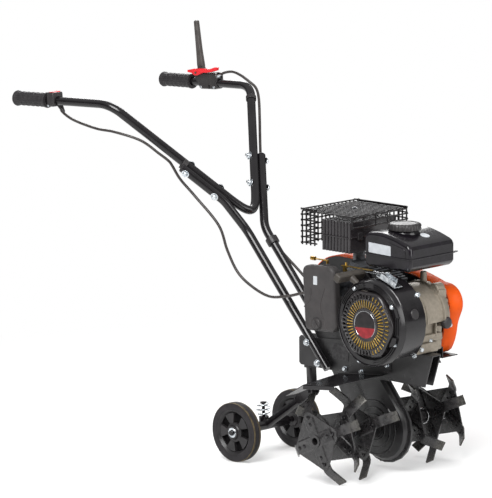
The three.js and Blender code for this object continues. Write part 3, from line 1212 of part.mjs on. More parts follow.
// Handlebar, in the floor frame
function armPoint(side, distance) {
  const foot = new THREE.Vector3(side * HANDLE_FOOT.x, HANDLE_FOOT.y, HANDLE_FOOT.z);
  const elbow = new THREE.Vector3(side * HANDLE_ELBOW.x, HANDLE_ELBOW.y, HANDLE_ELBOW.z);
  const up = new THREE.Vector3().subVectors(elbow, foot).normalize();
  return foot.addScaledVector(up, distance);
}

function armLength() {
  return armPoint(LEFT, 0).distanceTo(new THREE.Vector3(HANDLE_ELBOW.x, HANDLE_ELBOW.y, HANDLE_ELBOW.z));
}

function lowerOffset(side) {
  const normal = LOWER_OFFSET_DIRECTION.clone();
  normal.x *= side;
  const along = new THREE.Vector3().subVectors(armPoint(side, 1), armPoint(side, 0)).normalize();
  normal.addScaledVector(along, -normal.dot(along)).normalize();
  return normal.multiplyScalar(2 * TUBE.radius + SEAT_GAP);
}

function boltDistances() {
  const top = armLength() * LOWER_START_SHARE;
  return [top - BOLT.first, top - BOLT.first - BOLT.spacing];
}

function boltHoles(side) {
  return boltDistances().map((distance) => {
    const onUpper = armPoint(side, distance);
    const step = lowerOffset(side);
    return rodBetween(
      onUpper.clone().addScaledVector(step, 1), onUpper.clone().addScaledVector(step, -2),
      BOLT.radius + SEAT_GAP, 8,
    );
  });
}

function upperHandlebar(parent) {
  const half = (side) => {
    const grip = new THREE.Vector3(side * HANDLE_END.x, HANDLE_END.y, HANDLE_END.z);
    const elbow = new THREE.Vector3(side * HANDLE_ELBOW.x, HANDLE_ELBOW.y, HANDLE_ELBOW.z);
    const inward = new THREE.Vector3().subVectors(elbow, grip).normalize();
    const end = grip.addScaledVector(inward, GRIP.flange_width);
    return [end, ...bendStations(end, elbow, armPoint(side, 0), HANDLE_ELBOW.radius, 5)];
  };
  const footLeft = armPoint(LEFT, 0);
  const footRight = armPoint(RIGHT, 0);
  const downLeft = new THREE.Vector3().subVectors(footLeft, armPoint(LEFT, 1));
  const downRight = new THREE.Vector3().subVectors(footRight, armPoint(RIGHT, 1));
  const bow = new THREE.CubicBezierCurve3(
    footRight, footRight.clone().addScaledVector(downRight, HANDLE_FOOT.pull),
    footLeft.clone().addScaledVector(downLeft, HANDLE_FOOT.pull), footLeft,
  );
  const stations = [...half(RIGHT), ...bow.getSpacedPoints(8), ...half(LEFT).reverse()];
  const tube = tubeAlong(stations, TUBE.radius, TUBE.sides);
  const holes = [...boltHoles(RIGHT), ...boltHoles(LEFT)];
  piece(parent, 'upper_handlebar', shaped([tube], holes), 'black_enamel');
}

function lowerStations(side) {
  const step = lowerOffset(side);
  const top = armPoint(side, armLength() * LOWER_START_SHARE).sub(step);
  const mild = armPoint(side, 0).sub(step);
  const elbow = new THREE.Vector3(side * LOWER_ELBOW.x, LOWER_ELBOW.y, LOWER_ELBOW.z);
  const end = new THREE.Vector3(side * LOWER_END.x, LOWER_END.y, LOWER_END.z);
  return [
    top, ...bendStations(top, mild, elbow, LOWER_ELBOW.radius, 2),
    ...bendStations(mild, elbow, end, LOWER_ELBOW.radius, 4), end,
  ];
}

function lowerHandlebar(parent, name, side) {
  const tube = tubeAlong(lowerStations(side), TUBE.radius, TUBE.sides);
  piece(parent, name, shaped([tube], boltHoles(side)), 'black_enamel');
}

function handlebarBolt(parent, name, side, distance) {
  const onUpper = armPoint(side, distance);
  const step = lowerOffset(side);
  const unit = step.clone().normalize();
  const onLower = onUpper.clone().sub(step);
  const headSeat = onLower.clone().addScaledVector(unit, -TUBE.radius - SEAT_GAP);
  const nutSeat = onUpper.clone().addScaledVector(unit, TUBE.radius + SEAT_GAP);
  const headEnd = headSeat.clone().addScaledVector(unit, -BOLT.head_height);
  const nutEnd = nutSeat.clone().addScaledVector(unit, BOLT.nut);
  piece(parent, name, shaped([
    rodBetween(headEnd, nutEnd, BOLT.radius, 8), rodBetween(headEnd, headSeat, BOLT.head, 10),
    rodBetween(nutSeat, nutEnd, BOLT.head, 6),
  ]), 'zinc');
}

function gripPiece(parent, name, side) {
  const end = new THREE.Vector3(side * HANDLE_END.x, HANDLE_END.y, HANDLE_END.z);
  const elbow = new THREE.Vector3(side * HANDLE_ELBOW.x, HANDLE_ELBOW.y, HANDLE_ELBOW.z);
  const along = new THREE.Vector3().subVectors(elbow, end).normalize();
  const bore = bored(TUBE.radius, 12);
  const profile = [[0, 0], [GRIP.flange, 0], [GRIP.flange, GRIP.flange_width]];
  const pitch = (GRIP.length - 2 * GRIP.flange_width) / GRIP.ribs;
  for (let i = 0; i < GRIP.ribs; i += 1) {
    const at = GRIP.flange_width + i * pitch;
    profile.push([GRIP.radius - GRIP.rib, at + pitch * GRIP_RIB_SHARES.rise]);
    profile.push([GRIP.radius, at + pitch * GRIP_RIB_SHARES.crest]);
  }
  profile.push([GRIP.flange, GRIP.length - GRIP.flange_width], [GRIP.flange, GRIP.length]);
  profile.push([bore, GRIP.length], [bore, GRIP.flange_width - SEAT_GAP], [0, GRIP.flange_width - SEAT_GAP]);
  const points = profile.map(([radius, length]) => new THREE.Vector2(radius, length));
  const geometry = new THREE.LatheGeometry(points, 12);
  geometry.applyQuaternion(new THREE.Quaternion().setFromUnitVectors(new THREE.Vector3(0, 1, 0), along));
  geometry.translate(end.x, end.y, end.z);
  piece(parent, name, geometryOf(solid(geometry)), 'rubber');
}

// Controls, in the floor frame
function barPoint(side, y) {
  const share = (y - HANDLE_ELBOW.y) / (HANDLE_END.y - HANDLE_ELBOW.y);
  return new THREE.Vector3(
    side * THREE.MathUtils.lerp(HANDLE_ELBOW.x, HANDLE_END.x, share), y,
    THREE.MathUtils.lerp(HANDLE_ELBOW.z, HANDLE_END.z, share),
  );
}

function barBore(side, lowY, highY) {
  return rodBetween(
    barPoint(side, lowY - CUT_OVERRUN), barPoint(side, highY + CUT_OVERRUN), bored(TUBE.radius, 12), 12,
  );
}

function switchHousing(parent) {
  const { length, half, above, below, corner, bevel } = SWITCH_BOX;
  const y = GRIP_INNER_Y - SWITCH_BOX.grip_gap - length / 2;
  const centre = barPoint(RIGHT, y);
  const low = y - length / 2;
  const high = y + length / 2;
  const shape = roundedBox(low, high, centre.z - below, centre.z + above, corner);
  const box = slabX(shape, centre.x - half, centre.x + half, { bevel, bevelSegments: 1, curveSegments: 2 });
  const seatLow = centre.z + above - ROCKER.height / 2;
  const pocket = block(
    centre.x - ROCKER.length / 2 - ROCKER.play, centre.x + ROCKER.length / 2 + ROCKER.play,
    y - ROCKER.width / 2 - SEAT_GAP, y + ROCKER.width / 2 + SEAT_GAP,
    seatLow - ROCKER.height / 2, seatLow + ROCKER.height,
  );
  piece(parent, 'switch_housing', shaped([box], [barBore(RIGHT, low, high), pocket]), 'moulded_plastic');
  // The rocker is drawn along Y about its middle and turned across the bar
  const reach = ROCKER.length / 2;
  const halfWidth = ROCKER.width / 2;
  const rocker = polygon([
    [-reach, 0], [reach, 0], [reach, ROCKER.height * ROCKER_SHARES.high_end],
    [0, ROCKER.height * ROCKER_SHARES.dip], [-reach, ROCKER.height * ROCKER_SHARES.low_end],
  ]);
  const keel = polygon([
    [-ROCKER.height / 2, FUSE], [0, SEAT_GAP - ROCKER.height / 2], [ROCKER.height / 2, FUSE],
  ]);
  const body = shaped([slabX(rocker, -halfWidth, halfWidth), slabX(keel, -halfWidth, halfWidth)]);
  body.rotateZ(-Math.PI / 2);
  body.translate(centre.x, y, seatLow);
  piece(parent, 'switch_rocker', body, 'red_plastic');
}

function leverGroup(parent) {
  const { length, half, above, below, corner, bevel } = LEVER_CLAMP;
  const y = GRIP_INNER_Y - LEVER_CLAMP.grip_gap - length / 2;
  const centre = barPoint(LEFT, y);
  const low = y - length / 2;
  const high = y + length / 2;
  const shape = roundedBox(low, high, centre.z - below, centre.z + above, corner);
  const box = slabX(shape, centre.x - half, centre.x + half, { bevel, bevelSegments: 1, curveSegments: 1 });
  const pivotZ = centre.z + above;
  const slotHalf = LEVER.thickness / 2 + SEAT_GAP;
  const slot = block(
    centre.x - slotHalf, centre.x + slotHalf, low - CUT_OVERRUN, high + CUT_OVERRUN,
    centre.z + TUBE.radius + CUT_OVERRUN, pivotZ + above,
  );
  const earShape = polygon(loopPoints(
    { y: LEVER_Y, z: pivotZ }, LEVER.root / 2, { y: LEVER_Y, z: centre.z + TUBE.radius }, LEVER.root / 2, 4,
  ));
  const ears = [RIGHT, LEFT].map((way) => {
    const inner = centre.x + way * slotHalf;
    const outer = centre.x + way * half;
    return slabX(earShape, Math.min(inner, outer), Math.max(inner, outer));
  });
  const pinHole = rodX(LEVER_Y, pivotZ, LEVER.pivot / 2, centre.x - 2 * half, centre.x + 2 * half, 10);
  // Below the bar the clamp is split into two shells
  const splitY = high - CLAMP_SPLIT.from_rear;
  const split = block(
    centre.x - 2 * half, centre.x + 2 * half, splitY - CLAMP_SPLIT.width / 2, splitY + CLAMP_SPLIT.width / 2,
    centre.z - 2 * below, centre.z - TUBE.radius / 2,
  );
  const bore = barBore(LEFT, low, Math.max(high, LEVER_Y + LEVER.root));
  const cuts = [bore, slot, pinHole, split];
  piece(parent, 'lever_clamp', shaped([box, ...ears], cuts), 'moulded_plastic');
  const tipZ = pivotZ + LEVER.height;
  const tip = { y: LEVER_Y + LEVER.lean, z: tipZ };
  const bladeShape = loopPoints({ y: LEVER_Y, z: pivotZ }, LEVER.root / 2 - SEAT_GAP, tip, LEVER.tip / 2, 6);
  const thick = LEVER.thickness / 2;
  const blade = slabX(polygon(bladeShape), centre.x - thick, centre.x + thick, {
    bevel: thick / 2, bevelSegments: 1,
  });
  // The pin carries the lever between the ears and the catch outside the inner ear
  const catchHigh = centre.x - half - SEAT_GAP;
  const catchLow = catchHigh - CATCH.width;
  const pinRadius = LEVER.pivot / 2 - SEAT_GAP;
  const pin = rodX(LEVER_Y, pivotZ, pinRadius, catchLow - LEVER.pivot / 4, centre.x + half, 10);
  piece(parent, 'clutch_lever', shaped([blade, pin]), 'moulded_plastic');
  const rearEnd = LEVER_Y + CATCH.behind_pivot;
  const outline = [...CATCH_TOP_SHARES, ...CATCH_LOW_SHARES].map(([along, height]) => [
    rearEnd - along * CATCH.length, pivotZ + height * CATCH.height,
  ]);
  const bar = slabX(polygon(outline.reverse()), catchLow, catchHigh);
  const eye = rodX(LEVER_Y, pivotZ, LEVER.pivot / 2, catchLow - CUT_OVERRUN, catchHigh + CUT_OVERRUN, 10);
  piece(parent, 'lever_catch', shaped([bar], [eye]), 'red_plastic');
}

function cables(parent) {
  const stop = tubeAlong(smoothStations(STOP_ROUTE, 27), CABLE_RADIUS, CABLE_SIDES);
  piece(parent, 'stop_cable', geometryOf(solid(stop)), 'rubber');
  const clutch = tubeAlong(smoothStations(CLUTCH_ROUTE, 25), CABLE_RADIUS, CABLE_SIDES);
  piece(parent, 'clutch_cable', geometryOf(solid(clutch)), 'rubber');
}

// The whole machine
const whole = new THREE.Group();
const tiller = new THREE.Group();
tiller.position.y = AXLE_FROM_MIDDLE;
whole.add(tiller);
const machine = new THREE.Group();
machine.position.set(0, TINE_SHAFT_Y, TINE_SHAFT_HEIGHT);
machine.rotation.x = PITCH;
tiller.add(machine);

tineStars(machine);
tineShaft(machine);
inputShaft(machine);
driveChain(machine);
chainCaseHalf(machine, 'chain_case_right', RIGHT);
chainCaseHalf(machine, 'chain_case_left', LEFT);
sidePlate(machine, 'side_plate_right', RIGHT);
sidePlate(machine, 'side_plate_left', LEFT);
engineBed(machine);
tineGuard(machine, 'tine_guard_right', RIGHT);
tineGuard(machine, 'tine_guard_left', LEFT);
crankcase(machine);
crankshaft(machine);
cylinder(machine);
fanShroud(machine);
recoilCover(machine);
flywheel(machine);
starter(machine);
oilCap(machine);
fuelTank(machine);
fuelCap(machine);
muffler(machine);
mufflerGuard(machine);
airCleaner(machine);
cleanerKnob(machine);
carburettor(machine);
chokeLever(machine);
beltDrive(machine);
idler(machine);
beltGuard(machine);

rearPost(tiller);
wheelArm(tiller);
latchSpring(tiller);
wheel(tiller, 'wheel_right', RIGHT);
wheel(tiller, 'wheel_left', LEFT);
upperHandlebar(tiller);
lowerHandlebar(tiller, 'lower_handlebar_right', RIGHT);
lowerHandlebar(tiller, 'lower_handlebar_left', LEFT);
gripPiece(tiller, 'grip_right', RIGHT);
gripPiece(tiller, 'grip_left', LEFT);
for (const [word, side] of [['right', RIGHT], ['left', LEFT]]) {
  boltDistances().forEach((distance, index) => {
    handlebarBolt(tiller, `handlebar_bolt_${word}_${index === 0 ? 'upper' : 'lower'}`, side, distance);
  });
}
switchHousing(tiller);
leverGroup(tiller);
cables(tiller);

export default whole;
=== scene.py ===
"""Petrol garden tiller: finished pieces, finishes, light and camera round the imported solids."""

import functools
import json
import math

import bmesh
import bpy
from bpy.props import FloatProperty, FloatVectorProperty, IntProperty, PointerProperty
from mathutils import Matrix, Vector

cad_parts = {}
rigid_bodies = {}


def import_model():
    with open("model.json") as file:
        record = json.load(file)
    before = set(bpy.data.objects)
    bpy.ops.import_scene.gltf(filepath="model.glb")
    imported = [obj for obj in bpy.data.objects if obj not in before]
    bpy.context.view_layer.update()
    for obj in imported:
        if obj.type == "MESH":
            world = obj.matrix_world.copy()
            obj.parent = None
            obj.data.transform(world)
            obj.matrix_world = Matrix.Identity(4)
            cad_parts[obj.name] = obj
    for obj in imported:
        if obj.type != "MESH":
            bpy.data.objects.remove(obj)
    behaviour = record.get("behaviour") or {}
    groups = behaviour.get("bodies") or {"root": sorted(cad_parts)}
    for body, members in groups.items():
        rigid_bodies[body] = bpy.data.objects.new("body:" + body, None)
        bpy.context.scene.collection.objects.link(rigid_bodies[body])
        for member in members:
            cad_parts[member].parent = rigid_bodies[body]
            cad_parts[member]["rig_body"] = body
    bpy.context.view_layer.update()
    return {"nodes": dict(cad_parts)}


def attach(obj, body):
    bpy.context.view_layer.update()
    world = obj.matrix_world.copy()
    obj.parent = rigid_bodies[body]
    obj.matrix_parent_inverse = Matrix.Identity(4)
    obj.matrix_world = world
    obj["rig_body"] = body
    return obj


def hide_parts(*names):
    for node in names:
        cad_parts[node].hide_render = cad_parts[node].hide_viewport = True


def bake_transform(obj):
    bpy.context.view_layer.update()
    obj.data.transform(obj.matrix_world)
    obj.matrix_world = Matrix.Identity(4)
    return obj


bl_info = {
    "name": "Garden tiller",
    "version": (1, 0, 0),
    "blender": (4, 5, 0),
    "location": "3D View > Sidebar > Tiller",
    "description": "Dresses the solids of a petrol garden tiller with finished pieces",
    "category": "Object",
}

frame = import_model()

# Places are written in millimetres, in one of two frames. FLOOR stands on the floor under the
# wheel axle. MACHINE has its origin on the tine shaft and leans a little nose-down.
MM = 0.001
RIGHT = -1
LEFT = 1
SIDES = ((RIGHT, "right"), (LEFT, "left"))
SEAT = 0.3
WASHER_THICKNESS = 1.6
PITCH = math.radians(3)
FLOOR = Matrix.Translation((0, 18.1 * MM, 0)) @ Matrix.Scale(MM, 4)
MACHINE = FLOOR @ Matrix.Translation((0, -387, 111)) @ Matrix.Rotation(PITCH, 4, "X")

# Camera: the photograph's place, turn and field of view, measured from the model
CAMERA_AZIMUTH = math.radians(-44.78)
CAMERA_ELEVATION = math.radians(7.82)
CAMERA_ROLL = math.radians(-2.58)
CAMERA_TARGET = Vector((0, 0.0637, 0.5187))
CAMERA_DISTANCE = 8.778
CAMERA_LENS = 253.03

# Tine stars, in the machine frame: their distances from the rotor's middle and their turns in degrees
ROTOR_MIDDLE = 6
STARS = {"outer": 226, "middle": 161, "inner": 88}
STAR_TURNS = {RIGHT: (26, 60, 26), LEFT: (60, 26, 60)}

# Engine, in the machine frame
CRANK = (-117, 292.5)
INPUT = (180, 278)
SHROUD_FRONT = -150
SHROUD_RADIUS = 106
COVER_FRONT = -176
INNER_VENTS = (40, 59.5)
OUTER_VENTS = (63, 74)
OIL_CAP_HEIGHT = CRANK[1] - 14
CLEANER = {"x": (-150, -121), "y": (4, 109), "z": (248, 408), "knob": (66, 267)}
TANK = {"x": (-98, 60), "y": (-191, -42), "seam": 446}
CAP_AT = (-24, -106)
NET = {"x": (-96, 101), "y": (-2, 168), "top": 529, "drop": 86, "near_run": 52}
GUARD_SHEET = 57.3
BACK_SHEET = 57.7

# The air cleaner leans back about its knob
LEAN = Matrix.Translation((0, *CLEANER["knob"])) @ Matrix.Rotation(math.radians(-3.4), 4, "X")
LEANING = MACHINE @ LEAN @ Matrix.Translation((0, -CLEANER["knob"][0], -CLEANER["knob"][1]))

# Handlebar, in the floor frame, on the left side
HANDLE_END = Vector((259, 588, 906))
HANDLE_ELBOW = Vector((248, 252, 900))
HANDLE_FOOT = Vector((50, 54, 657))
LOWER_ELBOW = Vector((31, 7.5, 572))
LOWER_END = Vector((31, -252, 245))
TUBE_RADIUS = 11
BOW_REACH = 78
ARM_BEND = 70
LOWER_BEND = 90
JOINT_SHARE = 0.36
JOINT_BOLTS = {"upper": 15, "lower": 107}
CABLE_RADIUS = 3.5
LEVER_PIN = (252.91, 435, 929.68)

# Wheels, in the floor frame
WHEEL_SIDE = 107
WHEEL_RADIUS = 75
SPRING_FOOT = 97.5

# Routes of the held cables, as in the part's source, in millimetres of the floor frame
STOP_ROUTE = [
    (-243, 440, 888), (-243, 436, 874.8), (-243, 394, 855), (-242, 314, 837), (-236, 253, 830),
    (-205, 193, 808), (-166, 170, 772), (-146, 158, 752), (-134, 158, 738), (-118, 148, 703),
    (-104, 113, 661), (-88, 50, 590), (-81, 30, 527), (-75, 2, 472), (-70, -43, 438),
    (-65, -95, 418), (-62, -150, 422), (-64, -205, 434), (-66, -250, 444),
]
CLUTCH_ROUTE = [
    (246, 358, 926), (246, 338, 932), (246, 312, 934), (247, 286, 926), (250, 262, 912),
    (253, 238, 894), (240, 216, 868), (214, 190, 822), (184, 162, 774), (148, 127, 722),
    (108, 84, 668), (78, 50, 610), (54, 14, 548), (48, -29, 514), (48, -97, 462),
    (50, -148, 418), (51.7, -195, 380), (51.7, -240, 350),
]


# Colours and shader nodes


def linear(hex_colour):
    """An sRGB hex colour as linear red, green and blue."""
    parts = [int(hex_colour[i : i + 2], 16) / 255 for i in (0, 2, 4)]
    return tuple(c / 12.92 if c <= 0.04045 else ((c + 0.055) / 1.055) ** 2.4 for c in parts)


def add_node(tree, kind, settings=None, links=None):
    """Adds one node, with its plain settings and what its inputs are linked to or set to."""
    made = tree.nodes.new(kind)
    for name, value in (settings or {}).items():
        setattr(made, name, value)
    for name, value in (links or {}).items():
        if isinstance(value, bpy.types.NodeSocket):
            tree.links.new(value, made.inputs[name])
        else:
            made.inputs[name].default_value = value
    return made


def new_material(name):
    """An empty node material with its shader, and the Object coordinates that patterns read."""
    material = bpy.data.materials.new(name)
    material.use_nodes = True
    tree = material.node_tree
    shader = tree.nodes["Principled BSDF"]
    place = add_node(tree, "ShaderNodeTexCoord").outputs["Object"]
    return material, tree, shader, place


def noise(tree, place, patch_mm, detail):
    """A noise with patches of a real size."""
    links = {"Vector": place, "Scale": 1 / (patch_mm * MM), "Detail": detail}
    return add_node(tree, "ShaderNodeTexNoise", links=links).outputs["Fac"]


def ranged(tree, value, from_low, from_high, to_low, to_high, kind="LINEAR"):
    """A value carried from one range into another."""
    limits = {"From Min": from_low, "From Max": from_high, "To Min": to_low, "To Max": to_high}
    made = add_node(tree, "ShaderNodeMapRange", {"interpolation_type": kind}, {"Value": value, **limits})
    return made.outputs["Result"]


def mottled(tree, place, dark, light, patch_mm):
    """A colour that drifts between two tones in patches of a real size."""
    ramp = add_node(tree, "ShaderNodeValToRGB", links={"Fac": noise(tree, place, patch_mm, 3.0)})
    for element, position, tone in zip(ramp.color_ramp.elements, (0.35, 0.65), (dark, light)):
        element.position = position
        element.color = (*(linear(tone) if isinstance(tone, str) else tone), 1.0)
    return ramp.outputs["Color"]


def spread(tree, place, patch_mm, low, high):
    """A value that drifts between two limits in patches of a real size."""
    return ranged(tree, noise(tree, place, patch_mm, 4.0), 0.3, 0.7, low, high)


def grain(tree, shader, place, grain_mm, height_mm, strength):
    """A raised grain of a real width and height under the finish."""
    links = {"Height": noise(tree, place, grain_mm, 3.0), "Distance": height_mm * MM, "Strength": strength}
    bump = add_node(tree, "ShaderNodeBump", links=links)
    tree.links.new(bump.outputs["Normal"], shader.inputs["Normal"])


def mixed_colour(tree, factor, first, second):
    """The first colour where the factor is 0 and the second where it is 1."""
    links = {"Factor": factor, 6: first, 7: second}
    return add_node(tree, "ShaderNodeMix", {"data_type": "RGBA"}, links).outputs[2]


def mixed_shader(tree, factor, first, second):
    """The first shader where the factor is 0 and the second where it is 1."""
    links = {"Fac": factor, 1: first, 2: second}
    return add_node(tree, "ShaderNodeMixShader", links=links).outputs["Shader"]


def surfaced(name, tones, rough, values, texture, tone_mm, rough_mm):
    """A finish whose tone and roughness drift in patches of real sizes, over a raised grain."""
    material, tree, shader, place = new_material(name)
    tree.links.new(mottled(tree, place, *tones, tone_mm), shader.inputs["Base Color"])
    tree.links.new(spread(tree, place, rough_mm, *rough), shader.inputs["Roughness"])
    for key, value in values.items():
        shader.inputs[key].default_value = value
    grain(tree, shader, place, *texture)
    return material


def coated_steel(name, dark, light, rough, peel_mm=22.0, peel_height=0.006, specular=0.5):
    """Sheet or tube under stoved enamel: even colour, faint orange peel, soft-edged highlights."""
    limits = (rough * 0.8, rough * 1.25)
    values = {"Specular IOR Level": specular, "IOR": 1.5}
    return surfaced(name, (dark, light), limits, values, (peel_mm, peel_height, 0.6), tone_mm=45, rough_mm=30)


def moulded(name, dark, light, rough, texture_mm, texture_height, specular=0.4):
    """Moulded thermoplastic: dyed through, with the fine texture of an etched mould."""
    limits = (rough * 0.9, rough * 1.1)
    values = {"Specular IOR Level": specular, "IOR": 1.46}
    texture = (texture_mm, texture_height, 0.5)
    return surfaced(name, (dark, light), limits, values, texture, tone_mm=20, rough_mm=12)


def bright_metal(name, dark, light, rough, grain_mm, grain_height, metallic=1.0):
    """Bare or plated metal, with the marks that its surface was left with."""
    limits = (rough * 0.75, rough * 1.3)
    marks = (grain_mm, grain_height, 0.6)
    return surfaced(name, (dark, light), limits, {"Metallic": metallic}, marks, tone_mm=8, rough_mm=6)


# The finishes


def black_enamel():
    # Stoved gloss enamel on tube and pressings: deep black with a crisp but soft-edged shine
    return coated_steel("stoved_black_enamel", "0f0d0f", "161416", 0.2, specular=0.44)


def chassis_enamel():
    # The same enamel sprayed thinner on folded sheet, so it shines less
    return coated_steel("sprayed_black_enamel", "181718", "222122", 0.32, 6.0, 0.01)


def orange_enamel():
    # Powder coat on the pressed belt guard: saturated orange with a low orange peel
    colour = tuple(bpy.context.scene.tiller_colours.guard)
    deep = tuple(c * 0.86 for c in colour)
    return coated_steel("orange_powder_coat", deep, colour, 0.42, 5.0, 0.008, 0.15)


def muffler_enamel():
    # Heat-proof enamel on the silencer: black, smooth and glossy where it is curved
    return coated_steel("heat_proof_black_enamel", "1f1c1e", "292628", 0.22, 14.0, 0.01, 0.7)


def wire_dip():
    # Dip-coated wire: thick black film that rounds off the welds
    return coated_steel("dip_coated_wire", "141213", "1c1a1b", 0.36, 12.0, 0.005, 0.35)


def tank_plastic():
    # Blow-moulded polyethylene polished black: soft broad shine and slightly wavy faces
    return moulded("blow_moulded_polyethylene", "0f0d10", "161318", 0.18, 26.0, 0.02, 0.45)


def cover_plastic():
    # Injection-moulded ABS, dark grey, with a fine spark-eroded texture drawn at 1.2 mm so that it shows
    return moulded("textured_abs", "312f2f", "383535", 0.5, 1.2, 0.008)


def knob_plastic():
    # Nylon knobs, caps, clamps and clips: near black, a little glossier than the covers
    return moulded("moulded_nylon", "242223", "2d2b2b", 0.38, 1.5, 0.008)


def lever_plastic():
    # Warm dark grey nylon of the clutch lever
    return moulded("lever_nylon", "3b3735", "474341", 0.36, 2.0, 0.008)


def starter_plastic():
    # Dark brown-grey polypropylene of the pull handle and the rope's outlet
    return moulded("grey_polypropylene", "332f2b", "3d3934", 0.48, 1.4, 0.008)


def cover_enamel():
    # Pressed recoil cover in gloss black enamel
    return coated_steel("recoil_cover_enamel", "1b191a", "242122", 0.24)


def red_plastic():
    # Dyed red ABS of the catch and the rocker
    colour = tuple(bpy.context.scene.tiller_colours.signal)
    deep = tuple(c * 0.8 for c in colour)
    return moulded("red_abs", deep, colour, 0.38, 1.5, 0.02)


def cast_aluminium():
    # Die-cast aluminium, shot-blasted: warm grey, grainy, with a dull metallic sheen
    return bright_metal("die_cast_aluminium", "7f776b", "8b8376", 0.46, 1.6, 0.02, 0.55)


def darker_aluminium():
    # The same casting in a darker, cooler tone and a little smoother
    return bright_metal("darker_cast_aluminium", "4b4c4d", "63656a", 0.38, 2.2, 0.02, 0.6)


def zinc_plate():
    # Bright zinc plating on bolts, brackets and hub rings: bluish white and a little streaked
    return bright_metal("bright_zinc_plate", "aeb4b9", "dfe3e6", 0.26, 1.2, 0.02)


def yellow_zinc():
    # Yellow passivated zinc on the starter screen and the governor arm
    return bright_metal("yellow_passivated_zinc", "a5813a", "d9b96a", 0.36, 1.4, 0.03)


def chrome():
    # Chromed wire of springs and clips: mirror-like with faint drawing marks
    return bright_metal("chromed_wire", "c3c5c8", "e4e5e6", 0.12, 2.0, 0.005)


def brass():
    # Turned brass of the choke lever
    return bright_metal("turned_brass", "8f6e2c", "c39a4b", 0.3, 0.9, 0.02)


def bare_steel():
    # Plain steel shafts, pulleys and chain with a film of oil
    return bright_metal("oiled_steel", "55565a", "85868a", 0.38, 2.0, 0.04)


def tine_steel():
    """Forged blades under thin dark paint that thins to bare scale towards the tips."""
    material, tree, shader, place = new_material("painted_forged_steel")
    shaft = MACHINE.translation
    across = {"Vector": place, "Location": (0, -shaft.y, -shaft.z), "Scale": (0, 1, 1)}
    local = add_node(tree, "ShaderNodeMapping", {"vector_type": "POINT"}, across).outputs["Vector"]
    reach = add_node(tree, "ShaderNodeVectorMath", {"operation": "LENGTH"}, {0: local}).outputs["Value"]
    ragged = add_node(tree, "ShaderNodeTexNoise", links={"Vector": place, "Scale": 90.0, "Detail": 6.0})
    terms = {0: ragged.outputs["Fac"], 1: 0.034, 2: reach}
    pushed = add_node(tree, "ShaderNodeMath", {"operation": "MULTIPLY_ADD"}, terms).outputs[0]
    worn = ranged(tree, pushed, 0.112, 0.128, 0.0, 0.6)
    paint = mottled(tree, place, "131213", "262425", 14)
    scale = mottled(tree, place, "4a4945", "6f6d68", 3)
    tree.links.new(mixed_colour(tree, worn, paint, scale), shader.inputs["Base Color"])
    tree.links.new(worn, shader.inputs["Metallic"])
    tree.links.new(spread(tree, place, 10, 0.2, 0.4), shader.inputs["Roughness"])
    shader.inputs["Specular IOR Level"].default_value = 0.6
    grain(tree, shader, place, 4.0, 0.05, 0.6)
    return material


def tyre_rubber():
    # Hard solid rubber of the tyres: black and matt
    return moulded("hard_tyre_rubber", "1b191b", "272426", 0.6, 2.2, 0.02, 0.35)


def painted_shade_web_plastic():
    # Painted shade: the rim's plastic made near black and quite matt for the thin web deep between the
    # spokes, standing for the shade in its windows
    return moulded("painted_shade_web_plastic", "070607", "0c0b0c", 0.9, 2.0, 0.01, 0.1)


def dry_soil():
    # Dry soil left in the tread's outer grooves: tan and matt
    return moulded("dry_soil", "6e603f", "8c7b54", 0.85, 2.0, 0.02, 0.2)


def rim_plastic():
    # Glass-filled polypropylene of the rims and axle caps, black and satin
    return moulded("glass_filled_polypropylene", "1c1b1c", "262425", 0.38, 1.8, 0.01)


def grip_rubber():
    # Soft black rubber of the grips and the belt, with the mould's fine matt texture; also the dark rope
    return moulded("soft_grip_rubber", "211f21", "2a2829", 0.55, 1.1, 0.01, 0.35)


def cable_sheath():
    # Extruded PVC of the control cables' sheaths and the fuel hose
    return moulded("extruded_pvc_sheath", "2f2b2a", "3a3634", 0.36, 20.0, 0.004)


def foil_plate():
    # Blank anodised foil plate: dark grey and finely brushed
    return bright_metal("anodised_foil", "3a393a", "4d4c4d", 0.36, 0.8, 0.005, 0.8)


def paper_label():
    # Blank vinyl label with a low satin sheen
    return moulded("blank_vinyl_label", "a3a6aa", "b0b3b6", 0.45, 5.0, 0.01)


def badge_enamel():
    """Domed badge: black above and signal red below, left without any lettering."""
    material, tree, shader, place = new_material("domed_resin_badge")
    centre = MACHINE @ Vector((COVER_FRONT, CRANK[0], CRANK[1] - 7))
    about = {"Vector": place, "Location": tuple(-centre)}
    local = add_node(tree, "ShaderNodeMapping", {"vector_type": "POINT"}, about).outputs["Vector"]
    height = add_node(tree, "ShaderNodeSeparateXYZ", links={"Vector": local}).outputs["Z"]
    below = ranged(tree, height, -0.0004, 0.0004, 1.0, 0.0)
    black = mottled(tree, place, "151314", "211d1e", 12)
    red = mottled(tree, place, "70151b", "861f26", 12)
    tree.links.new(mixed_colour(tree, below, black, red), shader.inputs["Base Color"])
    shader.inputs["Roughness"].default_value = 0.36
    shader.inputs["Specular IOR Level"].default_value = 0.3
    return material


@functools.cache
def finish(maker):
    """The material that a maker function gives, made once."""
    return maker()


# Building with bmesh


def linked(name, data):
    """A new object of the scene for a mesh, a curve, a lamp or a camera."""
    made = bpy.data.objects.new(name, data)
    bpy.context.scene.collection.objects.link(made)
    return made


def mesh_of(name, bm):
    """The mesh that a shape becomes. The shape itself is used up."""
    mesh = bpy.data.meshes.new(name)
    bm.to_mesh(mesh)
    bm.free()
    return mesh


def evaluated(made):
    """The mesh of an object as it stands with its bevel or modifiers."""
    bpy.context.view_layer.update()
    return bpy.data.meshes.new_from_object(made.evaluated_get(bpy.context.evaluated_depsgraph_get()))


